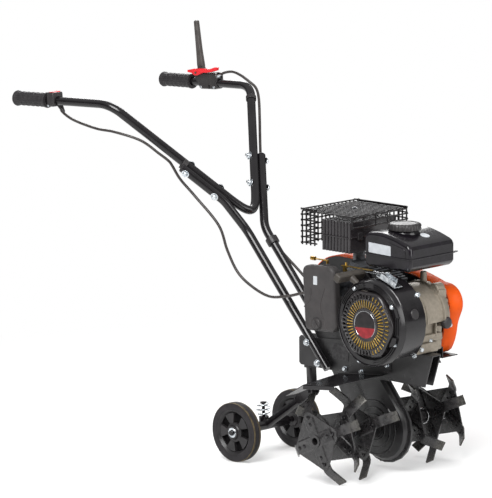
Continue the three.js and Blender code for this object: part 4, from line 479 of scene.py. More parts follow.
def piece(
    name, bm, maker, node=None, body="machine", matrix=MACHINE, angle=35, bevel=0.0, segments=2, outward=True
):
    """Turns a shape in millimetres into a finished piece that rides on its body and may stand for a node."""
    bm.transform(matrix)
    if outward:
        bmesh.ops.recalc_face_normals(bm, faces=bm.faces)
    mesh = mesh_of(name, bm)
    mesh.materials.append(finish(maker))
    mesh.shade_smooth()
    mesh.set_sharp_from_angle(angle=math.radians(angle))
    made = linked(name, mesh)
    if bevel:
        edge = made.modifiers.new("rounded_edges", "BEVEL")
        edge.width = bevel * MM
        edge.segments = segments
        edge.limit_method = "ANGLE"
        edge.angle_limit = math.radians(30)
        edge.harden_normals = True
        edge.use_clamp_overlap = True
    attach(made, body)
    if node:
        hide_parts(node)
    return made


def built(*shapes):
    """A new shape made of rows, each a shape function and its values."""
    bm = bmesh.new()
    for make, *values in shapes:
        make(bm, *values)
    return bm


def moved(bm, verts, matrix):
    """Puts the corners through a matrix."""
    bmesh.ops.transform(bm, matrix=matrix, verts=verts)
    return verts


def rod(bm, start, end, radius, segments, end_radius=None):
    """A round bar, a tapered one where the end's radius is given, or a prism of few sides."""
    start, end = Vector(start), Vector(end)
    along = end - start
    turn = along.to_track_quat("Z", "Y").to_matrix().to_4x4()
    made = bmesh.ops.create_cone(
        bm, cap_ends=True, segments=segments, radius1=radius,
        radius2=radius if end_radius is None else end_radius, depth=along.length,
    )
    return moved(bm, made["verts"], Matrix.Translation((start + end) / 2) @ turn)


def cuboid(bm, low, high):
    """A box between two opposite corners."""
    low, high = Vector(low), Vector(high)
    made = bmesh.ops.create_cube(bm, size=1)
    size = Matrix.Diagonal((*(high - low), 1))
    return moved(bm, made["verts"], Matrix.Translation((low + high) / 2) @ size)


def plate(bm, outline, axis, low, high):
    """An outline in the two other axes, pushed out along the X or Z axis."""

    def placed(a, b, along):
        return Vector({"X": (along, a, b), "Z": (a, b, along)}[axis])

    corners = [bm.verts.new(placed(a, b, low)) for a, b in outline]
    grown = bmesh.ops.extrude_face_region(bm, geom=[bm.faces.new(corners)])
    verts = corners_in(grown)
    bmesh.ops.translate(bm, verts=verts, vec=placed(0, 0, high - low))
    return corners + verts


def corners_in(grown):
    """The corners that an extrusion has made."""
    return [item for item in grown["geom"] if isinstance(item, bmesh.types.BMVert)]


def turned(bm, profile, centre, axis, steps):
    """A profile of (radius, place along the axis) turned once round it."""
    ways = {"X": Vector((1, 0, 0)), "Z": Vector((0, 0, 1))}
    along = ways[axis] if isinstance(axis, str) else Vector(axis).normalized()
    outward = along.orthogonal().normalized()
    centre = Vector(centre)
    chain = [bm.verts.new(centre + along * place + outward * radius) for radius, place in profile]
    edges = [bm.edges.new(pair) for pair in zip(chain, chain[1:])]
    bmesh.ops.spin(
        bm, geom=chain + edges, cent=centre, axis=along, angle=2 * math.pi, steps=steps, use_merge=True,
    )
    bmesh.ops.remove_doubles(bm, verts=bm.verts, dist=0.002)


def ring(bm, inner, outer, low, high, centre, axis, steps):
    """A flat-sided ring between two radii and two places along the axis."""
    section = [(inner, low), (outer, low), (outer, high), (inner, high), (inner, low)]
    turned(bm, section, centre, axis, steps)


def hex_bolt(bm, at, normal, across, height, washer):
    """A hexagon head on its washer, with the head's corners turned off."""
    at, normal = Vector(at), Vector(normal).normalized()
    seat = at + normal * WASHER_THICKNESS
    shoulder = seat + normal * height * 0.75
    rod(bm, at, seat, washer, 24)
    rod(bm, seat, shoulder, across / math.sqrt(3), 6)
    rod(bm, shoulder, seat + normal * height, across / 2.05, 18, across / 2.6)


def ribbed(bm, centre, across, steps, every, beyond, depth):
    """Draws two of every few rows of a turned rim's corners in, so that ribs stand between them."""
    a, b = across
    for vert in bm.verts:
        at = Vector((vert.co[a] - centre[a], vert.co[b] - centre[b]))
        row = int(round(math.atan2(at.y, at.x) / (2 * math.pi) * steps)) % every
        if at.length > beyond and row in (0, 1):
            inset = 1 - depth / at.length
            vert.co[a] = centre[a] + at.x * inset
            vert.co[b] = centre[b] + at.y * inset


def square(low_a, low_b, high_a, high_b):
    """The outline of a rectangle."""
    return [(low_a, low_b), (high_a, low_b), (high_a, high_b), (low_a, high_b)]


def rounded(points, radius, steps):
    """The outline with each corner turned to a round, no larger than its two edges allow."""
    made = []
    count = len(points)
    for i, here in enumerate(points):
        before, after = Vector(points[i - 1]), Vector(points[(i + 1) % count])
        corner = Vector(here)
        into, out = (before - corner), (after - corner)
        reach = min(radius, into.length * 0.45, out.length * 0.45)
        start, end = corner + into.normalized() * reach, corner + out.normalized() * reach
        for step in range(steps + 1):
            t = step / steps
            made.append(tuple(start.lerp(corner, t).lerp(corner.lerp(end, t), t)))
    return made


def on_circle(centre, radius, degrees):
    """The point of a circle at an angle in degrees."""
    turn = math.radians(degrees)
    return (centre[0] + radius * math.cos(turn), centre[1] + radius * math.sin(turn))


def arc(centre, radius, start, end, steps):
    """Points of an arc between two angles in degrees."""
    return [on_circle(centre, radius, start + (end - start) * i / steps) for i in range(steps + 1)]


def smooth_path(route, steps):
    """Points of a smooth curve through the route's points."""
    points = [Vector(p) for p in route]
    ends = [2 * points[0] - points[1], *points, 2 * points[-1] - points[-2]]
    made = []
    for a, b, c, d in zip(ends, ends[1:], ends[2:], ends[3:]):
        square_term = 2 * a - 5 * b + 4 * c - d
        cube_term = 3 * b - a - 3 * c + d
        for step in range(steps):
            t = step / steps
            made.append(0.5 * (2 * b + (c - a) * t + square_term * t**2 + cube_term * t**3))
    return [*made, points[-1]]


def bend(before, corner, after, radius, steps):
    """Points of the round between two straights of a tube."""
    into, out = (corner - before).normalized(), (after - corner).normalized()
    turn = math.acos(max(-1.0, min(1.0, into.dot(out))))
    start = corner - into * radius * math.tan(turn / 2)
    inward = (out - into * into.dot(out)).normalized()
    made = []
    for step in range(steps + 1):
        angle = turn * step / steps
        made.append(start + into * radius * math.sin(angle) + inward * radius * (1 - math.cos(angle)))
    return made


def tube(name, points, radius, maker, node=None, body="machine", matrix=MACHINE, sides=3):
    """A round tube or wire along a path, with closed ends."""
    curve = bpy.data.curves.new(name, "CURVE")
    curve.dimensions = "3D"
    curve.bevel_depth = radius
    curve.bevel_resolution = sides
    curve.use_fill_caps = True
    spline = curve.splines.new("POLY")
    spline.points.add(len(points) - 1)
    for spot, point in zip(spline.points, points):
        spot.co = (*point, 1)
    holder = linked(name, curve)
    mesh = evaluated(holder)
    bpy.data.objects.remove(holder)
    bpy.data.curves.remove(curve)
    bm = bmesh.new()
    bm.from_mesh(mesh)
    bpy.data.meshes.remove(mesh)
    bmesh.ops.remove_doubles(bm, verts=bm.verts, dist=0.001)
    return piece(name, bm, maker, node, body, matrix, 45)


def carved(made, bm):
    """Takes a shape in the machine's millimetres away from a piece."""
    bmesh.ops.recalc_face_normals(bm, faces=bm.faces)
    bm.transform(MACHINE)
    cutter = linked("cutter", mesh_of("cutter", bm))
    cut = made.modifiers.new("cut", "BOOLEAN")
    cut.operation = "DIFFERENCE"
    cut.object = cutter
    cut.solver = "EXACT"
    made.modifiers.move(len(made.modifiers) - 1, 0)
    others = [item for item in made.modifiers if item != cut]
    for item in others:
        item.show_viewport = False
    shape = evaluated(made)
    made.modifiers.remove(cut)
    for item in others:
        item.show_viewport = True
    made.data = shape
    bpy.data.objects.remove(cutter)


def walled(made):
    """Gives a shell a sheet's thickness, inwards."""
    wall = made.modifiers.new("wall", "SOLIDIFY")
    wall.thickness = 2.0 * MM
    wall.offset = -1


def softened(node, maker, bevel, segments=2):
    """A copy of a solid, merged and given rounded edges, that stands for it."""
    bm = bmesh.new()
    bm.from_mesh(frame["nodes"][node].data)
    bmesh.ops.remove_doubles(bm, verts=bm.verts, dist=2e-6)
    bmesh.ops.dissolve_limit(bm, angle_limit=math.radians(0.5), verts=bm.verts, edges=bm.edges)
    body = frame["nodes"][node]["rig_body"]
    piece(f"{node}_finished", bm, maker, node, body, Matrix.Identity(4), 35, bevel, segments, False)


# Sizes and colours that a user may change


def colour_property(name, description, hex_colour):
    return FloatVectorProperty(
        name=name, description=description, subtype="COLOR", min=0, max=1, default=linear(hex_colour)
    )


class TillerColours(bpy.types.PropertyGroup):
    """Colours that a user would change."""

    guard: colour_property("Guard", "Colour of the belt guard", "cf4c06")
    signal: colour_property("Signal", "Colour of the catch and the rocker", "cf1f27")
    floor: colour_property("Floor", "Colour of the floor", "f4f4f3")


class TillerSizes(bpy.types.PropertyGroup):
    """Sizes of the finished pieces that a user would change."""

    net_wire: FloatProperty(
        name="Net wire", description="Radius of the guard net's wire", unit="LENGTH", default=2.0 * MM,
    )
    net_across: IntProperty(name="Net gaps across", description="Gaps in its width", default=14, min=2)
    net_along: IntProperty(name="Net gaps along", description="Gaps in its depth", default=12, min=2)
    grip_flutes: IntProperty(name="Grip flutes", description="Flutes along each grip", default=14, min=4)
    vent_slots: IntProperty(name="Vent slots", description="Slots round the recoil badge", default=44, min=8)
    key_light: FloatProperty(name="Key light", description="Its strength", unit="POWER", default=260)


# Handlebar


def sided(side, point):
    """A point of the left side, or its twin on the right."""
    return Vector((side * point[0], point[1], point[2]))


def arm_point(side, distance):
    """A point of the upper tube's slanted arm, measured from its foot."""
    foot, elbow = sided(side, HANDLE_FOOT), sided(side, HANDLE_ELBOW)
    return foot + (elbow - foot).normalized() * distance


def arm_direction(side):
    """The arm's direction, upwards."""
    return (arm_point(side, 1) - arm_point(side, 0)).normalized()


def joint_distance():
    """How far up the arm the lower tube ends."""
    return (HANDLE_ELBOW - HANDLE_FOOT).length * JOINT_SHARE


def lower_step(side):
    """From the lower tube's axis to the upper one's, where they lie side by side."""
    normal = Vector((-0.86 * side, 0.36, 0.36)).normalized()
    along = arm_direction(side)
    return (normal - along * normal.dot(along)).normalized() * (2 * TUBE_RADIUS + SEAT)


class TILLER_OT_handlebar(bpy.types.Operator):
    """Makes the bent tubes of the handlebar and the bolts that join them"""

    bl_idname = "tiller.handlebar"
    bl_label = "Handlebar"

    def execute(self, context):
        self.upper_tube()
        for side, word in SIDES:
            self.lower_tube(side, word)
            self.joint_bolts(side, word)
            out = (side, 0, 0)
            bolts = built(
                (hex_bolt, (side * 41.6, -194, 308), out, 13, 6, 9),
                (hex_bolt, (side * 41.6, -227, 259), out, 13, 6, 9),
            )
            piece(f"foot_bolts_{word}", bolts, zinc_plate, matrix=FLOOR, bevel=0.3)
        return {"FINISHED"}

    def half(self, side):
        """The upper tube from the grip to the foot of its arm."""
        grip, elbow = sided(side, HANDLE_END), sided(side, HANDLE_ELBOW)
        end = grip + (elbow - grip).normalized() * 4
        return [end, *bend(end, elbow, arm_point(side, 0), ARM_BEND, 16)]

    def upper_tube(self):
        """One tube from grip to grip, with a bow between the feet of its two arms."""
        down = (arm_point(LEFT, 0) - arm_point(LEFT, 1)) * BOW_REACH
        right, left = arm_point(RIGHT, 0), arm_point(LEFT, 0)
        inner = (right + sided(RIGHT, down), left + down)
        bow = []
        for step in range(25):
            t = step / 24
            start = right * (1 - t) ** 3 + inner[0] * 3 * t * (1 - t) ** 2
            bow.append(start + inner[1] * 3 * t**2 * (1 - t) + left * t**3)
        points = [*self.half(RIGHT), *bow, *reversed(self.half(LEFT))]
        tube("upper_tube", points, TUBE_RADIUS, black_enamel, "upper_handlebar", matrix=FLOOR, sides=6)

    def lower_tube(self, side, word):
        """A tube from the joint with the arm, bent twice on its way down to the rear post."""
        step = lower_step(side)
        top = arm_point(side, joint_distance()) - step
        mild = arm_point(side, 0) - step
        elbow, end = sided(side, LOWER_ELBOW), sided(side, LOWER_END)
        bends = [*bend(top, mild, elbow, LOWER_BEND, 8), *bend(mild, elbow, end, LOWER_BEND, 12)]
        node = f"lower_handlebar_{word}"
        tube(f"lower_tube_{word}", [top, *bends, end], TUBE_RADIUS, black_enamel, node, matrix=FLOOR, sides=6)
        plug = (rod, top, top + (top - mild).normalized() * 2.2, TUBE_RADIUS + 0.2, 32, TUBE_RADIUS - 1.5)
        piece(f"tube_plug_{word}", built(plug), knob_plastic, matrix=FLOOR, bevel=0.6)

    def joint_bolts(self, side, word):
        """Two bolts through both tubes, each with its head, its nut and the thread's end."""
        step = lower_step(side)
        unit = step.normalized()
        for place, below in JOINT_BOLTS.items():
            upper = arm_point(side, joint_distance() - below)
            head = upper - step - unit * (TUBE_RADIUS + SEAT)
            nut = upper + unit * (TUBE_RADIUS + SEAT)
            bm = built(
                (hex_bolt, head, -unit, 13, 5.5, 10),
                (hex_bolt, nut, unit, 13, 6.5, 10),
                (rod, nut + unit * 7, nut + unit * 12, 3.9, 20, 3.4),
            )
            node = f"handlebar_bolt_{word}_{place}"
            piece(f"{node}_finished", bm, zinc_plate, node, matrix=FLOOR, bevel=0.3)


class TILLER_OT_grips(bpy.types.Operator):
    """Makes the two fluted rubber grips"""

    bl_idname = "tiller.grips"
    bl_label = "Grips"

    def execute(self, context):
        flutes = context.scene.tiller_sizes.grip_flutes
        for side, word in SIDES:
            end, elbow = sided(side, HANDLE_END), sided(side, HANDLE_ELBOW)
            profile = [(0, 0.2), (9, 0.2), (16.6, 0.7), (19.3, 2.2), (20, 4.2), (19.6, 6.4), (18.6, 9)]
            profile += [(17.6 + 0.7 * math.cos(2 * math.pi * (at - 10) / 17), at) for at in range(11, 105, 2)]
            profile += [(18.4, 107), (19.6, 110), (20, 113), (19.2, 115.4), (11.8, 115.8)]
            bm = built((turned, profile, (0, 0, 0), "Z", flutes * 6))
            for vert in bm.verts:
                if 10 < vert.co.z < 106 and vert.co.xy.length > 14:
                    turn = math.atan2(vert.co.y, vert.co.x) * flutes
                    vert.co.xy *= 1 - 0.045 * max(0.0, math.cos(turn))
            facing = (elbow - end).to_track_quat("Z", "Y").to_matrix().to_4x4()
            bm.transform(Matrix.Translation(end) @ facing)
            piece(f"ribbed_grip_{word}", bm, grip_rubber, f"grip_{word}", matrix=FLOOR, angle=50)
        return {"FINISHED"}


class TILLER_OT_controls(bpy.types.Operator):
    """Finishes the switch box, the clutch lever, its clamp and catch, and the two held cables"""

    bl_idname = "tiller.controls"
    bl_label = "Controls"

    def execute(self, context):
        softened("switch_housing", knob_plastic, 1.2, 3)
        softened("switch_rocker", red_plastic, 0.6)
        softened("lever_clamp", knob_plastic, 1.2, 3)
        self.lever()
        softened("lever_catch", red_plastic, 1.2, 3)
        self.fittings()
        for name, route in (("stop_cable", STOP_ROUTE), ("clutch_cable", CLUTCH_ROUTE)):
            path = smooth_path(route, 7)
            tube(f"{name}_sheath", path, CABLE_RADIUS, cable_sheath, name, matrix=FLOOR, sides=4)
        self.clips()
        return {"FINISHED"}

    def lever(self):
        """A flat lever with rounded edges that narrows upwards from its pin."""
        x, y, z = LEVER_PIN
        foot = [*arc((y, z), 10.6, 200, 340, 10), (y + 11.4, z + 22), (y - 8.6, z + 22)]
        root = built((plate, foot, "X", x - 5.3, x + 5.3), (rod, (x - 24.8, y, z), (x + 14, y, z), 3.1, 24))
        piece("lever_root", root, lever_plastic, "clutch_lever", "lever", FLOOR, bevel=1.0)
        tip = arc((y + 11, z + 130), 5.5, -5, 185, 10)
        outline = [(y - 9.4, z + 14), (y + 11.6, z + 14), (y + 13, z + 60), *tip, (y - 2, z + 60)]
        blade = built((plate, outline, "X", x - 6.6, x + 6.6))
        piece("lever_blade", blade, lever_plastic, "clutch_lever", "lever", FLOOR, bevel=3.0, segments=4)

    def fittings(self):
        """The clamp's screws, the lever's cable post and the boot under the switch box."""
        x = LEVER_PIN[0]
        bm = built(
            (rod, (x - 13.5, 379, 892), (x - 15.6, 379, 892), 3.6, 20, 3.0),
            (rod, (x - 13.5, 426, 892), (x - 15.6, 426, 892), 3.6, 20, 3.0),
            (rod, (-272.0, 455, 892), (-273.8, 455, 892), 3.2, 20, 2.6),
        )
        piece("housing_screws", bm, zinc_plate, matrix=FLOOR, bevel=0.2)
        bm = built(
            (rod, (x - 7, 372, 918), (x - 7, 364, 920.5), 5.4, 6),
            (rod, (x - 7, 366, 920), (x - 7, 357, 926), 3.6, 20),
        )
        piece("cable_post", bm, zinc_plate, matrix=FLOOR, bevel=0.4)
        bm = built(
            (rod, (-243, 445, 893), (-243, 438, 884), 7.2, 24, 6.2),
            (rod, (-243, 438, 884), (-243, 430, 874), 6.0, 24, 3.8),
        )
        piece("switch_boot", bm, knob_plastic, matrix=FLOOR, bevel=0.8)

    def clips(self):
        """Three straps round the tubes: on the joint at the right, at the left elbow and low on the left."""
        inner = TUBE_RADIUS + 0.2
        arm = (HANDLE_ELBOW - HANDLE_FOOT).length
        joint = arm_point(RIGHT, joint_distance()) - lower_step(RIGHT) * 0.3
        low = LOWER_ELBOW.lerp(LOWER_END, 0.1)
        bm = built(
            (ring, inner, TUBE_RADIUS + 3, -7, 7, joint, arm_direction(RIGHT), 28),
            (ring, inner, TUBE_RADIUS + 2.4, -6, 6, arm_point(LEFT, arm - 46), arm_direction(LEFT), 28),
            (ring, inner, TUBE_RADIUS + 4.6, -9, 9, low, LOWER_END - LOWER_ELBOW, 28),
        )
        piece("cable_clips", bm, knob_plastic, matrix=FLOOR, angle=50, bevel=0.8)


# Wheels and rear frame


class TILLER_OT_wheels(bpy.types.Operator):
    """Makes the two transport wheels with ribbed tyres, five-window rims whose windows hold a web of painted
    shade, and bright hub rings
    """

    bl_idname = "tiller.wheels"
    bl_label = "Transport wheels"

    def execute(self, context):
        for side, word in SIDES:
            centre = (side * WHEEL_SIDE, 0, WHEEL_RADIUS)
            self.tyre(word, centre)
            self.rim(word, centre)
            self.hub(side, word, centre)
        softened("wheel_arm", black_enamel, 1.0)
        self.spring()
        return {"FINISHED"}

    def tyre(self, word, centre):
        """Solid tyre: flat flanks, seven fine ribs round the tread and lines of soil near its shoulders."""
        crown = []
        for i in range(7):
            at = -9 + 3 * i
            top = WHEEL_RADIUS - 0.006 * at * at
            crown += [(top, at - 0.9), (top, at + 0.5), (top - 1.3, at + 0.8), (top - 1.3, at + 1.3)]
        flank = [(73.4, 12.6), (71.4, 13.5), (62, 13.6), (57, 12.8)]
        near = [(radius, -x) for radius, x in reversed(flank)]
        profile = [*near, *crown[:-2], (74.4, 10), *flank, near[0]]
        body, node = f"{word}_wheel", f"wheel_{word}"
        bm = built((turned, profile, centre, "X", 72))
        piece(f"tyre_{word}", bm, tyre_rubber, node, body, FLOOR, 28)
        lines = (-10.95, -7.95, 7.05, 10.05)
        soil = built(*((ring, 72.8, 74.5, at - 0.3, at + 0.3, centre, "X", 72) for at in lines))
        piece(f"tread_soil_{word}", soil, dry_soil, body=body, matrix=FLOOR)

    def rim(self, word, centre):
        """A rim with a lip, a stepped boss, five wide spokes and a thin web between them in near-black
        painted shade.
        """
        lip = [(50, -7), (55, -12.4), (57.4, -12.4), (57.4, 12.4), (55, 12.4), (50, 7), (48.5, 5), (48.5, -5)]
        half = [(24.5, 8.6), (21, 9.2), (18, 12), (17, 16), (7, 16)]
        boss = [(radius, -x) for radius, x in reversed(half)] + half + [(7, -16)]
        bm = built((turned, [*lip, lip[0]], centre, "X", 72), (turned, boss, centre, "X", 48))
        narrow, wide = math.degrees(0.26), math.degrees(0.34)
        for i in range(5):
            middle = 72 * i
            inner = arc(centre[1:], 24, middle - narrow, middle + narrow, 4)
            outer = arc(centre[1:], 49, middle + wide, middle - wide, 6)
            plate(bm, [*inner, *outer], "X", centre[0] - 9, centre[0] + 9)
        body, node = f"{word}_wheel", f"wheel_{word}"
        piece(f"rim_{word}", bm, rim_plastic, node, body, FLOOR, bevel=0.8)
        # Painted shade: a thin near-black web across the windows between the spokes
        web = built((ring, 20, 52, -0.6, 0.6, centre, "X", 60))
        piece(f"rim_painted_shade_web_{word}", web, painted_shade_web_plastic, body=body, matrix=FLOOR)

    def hub(self, side, word, centre):
        """A bright ring on the rim's boss, with the dark end of the axle and its pin within."""
        profile = [(7.4, 16.9), (12.2, 16.9), (12.8, 16.2), (12.8, 12), (7.4, 12), (7.4, 16.9)]
        bm = built((turned, profile, centre, (side, 0, 0), 36))
        piece(f"hub_shell_{word}", bm, zinc_plate, f"wheel_{word}", f"{word}_wheel", FLOOR, 40)
        face = Vector(centre) + Vector((side * 17.6, 0, 0))
        pin = face + Vector((side * 3, 0, 0))
        across = Vector((0, 9, 0))
        bm = built(
            (rod, face, face + Vector((side * 1.4, 0, 0)), 5.8, 28),
            (rod, pin - across, pin + across, 1.2, 12),
        )
        piece(f"axle_washer_{word}", bm, rim_plastic, body="wheel_frame", matrix=FLOOR, bevel=0.3)

    def spring(self):
        """The latch spring: three loose turns, wider in the middle."""
        turns, pitch, steps = 3, 11, 24
        points = []
        for i in range(turns * steps + 1):
            angle = 2 * math.pi * i / steps
            radius = 12 + 5 * math.sin(math.pi * i / (turns * steps))
            height = SPRING_FOOT + pitch * i / steps
            points.append(Vector((radius * math.cos(angle), 9 + radius * math.sin(angle), height)))
        tube("latch_spring_wire", points, 1.6, zinc_plate, "latch_spring", "wheel_frame", FLOOR)


# Chassis


class TILLER_OT_chassis(bpy.types.Operator):
    """Finishes the folded chassis, the tine guards and the chain case, and adds their small hardware"""

    bl_idname = "tiller.chassis"
    bl_label = "Chassis"

    def execute(self, context):
        softened("side_plate_right", chassis_enamel, 0.5)
        softened("side_plate_left", chassis_enamel, 0.5)
        self.bed()
        softened("rear_post", black_enamel, 1.4)
        softened("chain_case_right", chassis_enamel, 2.4, 3)
        softened("chain_case_left", chassis_enamel, 2.4, 3)
        self.case_rings()
        for side, word in SIDES:
            self.wing(side, word)
            self.flange(side, word)
        foil = built((plate, rounded(square(83, 152, 137, 190), 2, 2), "X", -20.6, -20.1))
        piece("blank_foil_plate", foil, foil_plate)
        for node in ("drive_chain", "tine_shaft", "input_shaft", "crankshaft"):
            frame["nodes"][node].data.materials.clear()
            frame["nodes"][node].data.materials.append(finish(bare_steel))
        return {"FINISHED"}

    def bed(self):
        """A folded channel under the engine; its front reaches out on the right side only."""
        front = [(-50, -218), (-17, -216), (-17, -150), (50, -150), (50, 62)]
        rear = [(17, 62), (17, 22), (-17, 22), (-17, 62), (-50, 62)]
        near = [(-218, 209), (-194, 132), (-70.8, 132.7), (10, 186), (62, 190), (62, 209)]
        bm = built(
            (plate, front + rear, "Z", 208.4, 212),
            (plate, near, "X", -50, -46.4),
            (plate, [(-216, 209), (-192, 132), (-60, 132), (-60, 209)], "X", -20.6, -17),
            (plate, [(-150, 209), (-140, 186), (62, 190), (62, 209)], "X", 46.4, 50),
        )
        piece("bed_channel", bm, chassis_enamel, "engine_bed", bevel=0.9, segments=3)

    def wing(self, side, word):
        """A sheet over the tines that falls gently to the rear, with a sloping flap and a small outer lip."""
        wide = {RIGHT: [(228, -64)], LEFT: [(155, -64), (228, 12)]}[side]
        top, slope, sheet = 143, -12 / 102, 2.5
        outline = [(side * x, y) for x, y in [(52, -64), *wide, (228, 38), (52, 84)]]
        lip = side * 226.8
        bm = built(
            (plate, outline, "Z", 0, sheet),
            (cuboid, (lip - 1.2, wide[-1][1], -9), (lip + 1.2, 38, sheet)),
        )
        for vert in bm.verts:
            vert.co.z += top + slope * (vert.co.y + 64)
        hinge = 37.5
        outline = [(side * x, y) for x, y in [(130, hinge), (228, hinge), (228, 96), (188, 96)]]
        for vert in plate(bm, outline, "Z", 0, sheet):
            vert.co.z += 131 - 34 / 58 * (vert.co.y - hinge)
        piece(f"tine_guard_sheet_{word}", bm, black_enamel, f"tine_guard_{word}", bevel=0.7)

    def case_rings(self):
        """Pressed steps round the shaft on the near face of the chain case, and six bolt heads within."""
        bm = bmesh.new()
        for radius in (30, 47, 64):
            step = [(radius, -16), (radius + 1, -17.6), (radius + 4, -17.6), (radius + 6, -16), (radius, -16)]
            turned(bm, step, (0, 0, 0), "X", 64)
        for y, z in arc((0, 0), 23, 0, 300, 5):
            rod(bm, (-16.5, y, z), (-18.1, y, z), 3.4, 6)
        piece("case_rings", bm, black_enamel, bevel=0.3)

    def flange(self, side, word):
        """A flange that holds the tine guard to the side plate, with two near-black plates that paint the
        shade of its two slots, and four bolts.
        """
        outline = [(100, 127), (58, 152), (44, 150), (30, 181), (-84, 184), (-88, 160), (-66, 146), (40, 134)]
        outline += [(84, 131.5)]
        bm = built((plate, rounded(outline, 6, 3), "X", *sorted((side * 50.6, side * 53.0))))
        piece(f"guard_flange_{word}", bm, chassis_enamel, bevel=0.6)
        # Painted shade: thin near-black plates stand for the dark of the two slots
        front = [(6, 152), (-44, 155), (-44, 158.5), (6, 155.5)]
        rear = [(-56, 151), (-88, 153), (-88, 156), (-56, 154)]
        face = sorted((side * 52.8, side * 53.4))
        bm = built(*((plate, rounded(slot, 1.6, 3), "X", *face) for slot in (front, rear)))
        piece(f"flange_slot_painted_shade_{word}", bm, knob_plastic)
        places = ((13, 170), (63, 142), (8, 141), (-75, 171))
        bolts = [(hex_bolt, (side * 53.2, y, z), (side, 0, 0), 11, 5.5, 7) for y, z in places]
        piece(f"flange_bolts_{word}", built(*bolts), zinc_plate, bevel=0.3)


# Tines


class TILLER_OT_tines(bpy.types.Operator):
    """Finishes the six tine stars and adds their rivets and ring clips"""

    bl_idname = "tiller.tines"
    bl_label = "Tines"

    def execute(self, context):
        for side, word in SIDES:
            for (place, distance), turn in zip(STARS.items(), STAR_TURNS[side]):
                softened(f"tine_{place}_{word}", tine_steel, 0.9)
                self.rivets(f"{place}_{word}", ROTOR_MIDDLE + side * distance, turn)
        for index, x in enumerate((159, 231, -147, -219)):
            wire = [Vector((x, y, z)) for y, z in arc((0, 0), 19, 0, 333, 37)]
            tube(f"ring_clip_{index}", wire, 1.3, chrome, body="tine_rotor")
        return {"FINISHED"}

    def rivets(self, name, x, turn):
        """Two domed rivets down the middle of each of the star's four blades."""
        half = [(0, 6.9), (2.6, 6.6), (4.6, 5.6), (5.2, 4.2)]
        dome = half + [(radius, -at) for radius, at in reversed(half)]
        bm = bmesh.new()
        for i in range(4):
            angle = math.radians(turn + 90 * i)
            for distance in (42, 59):
                turned(bm, dome, (x, -distance * math.cos(angle), distance * math.sin(angle)), "X", 16)
        piece(f"star_bolts_{name}", bm, black_enamel, body="tine_rotor")


# Engine


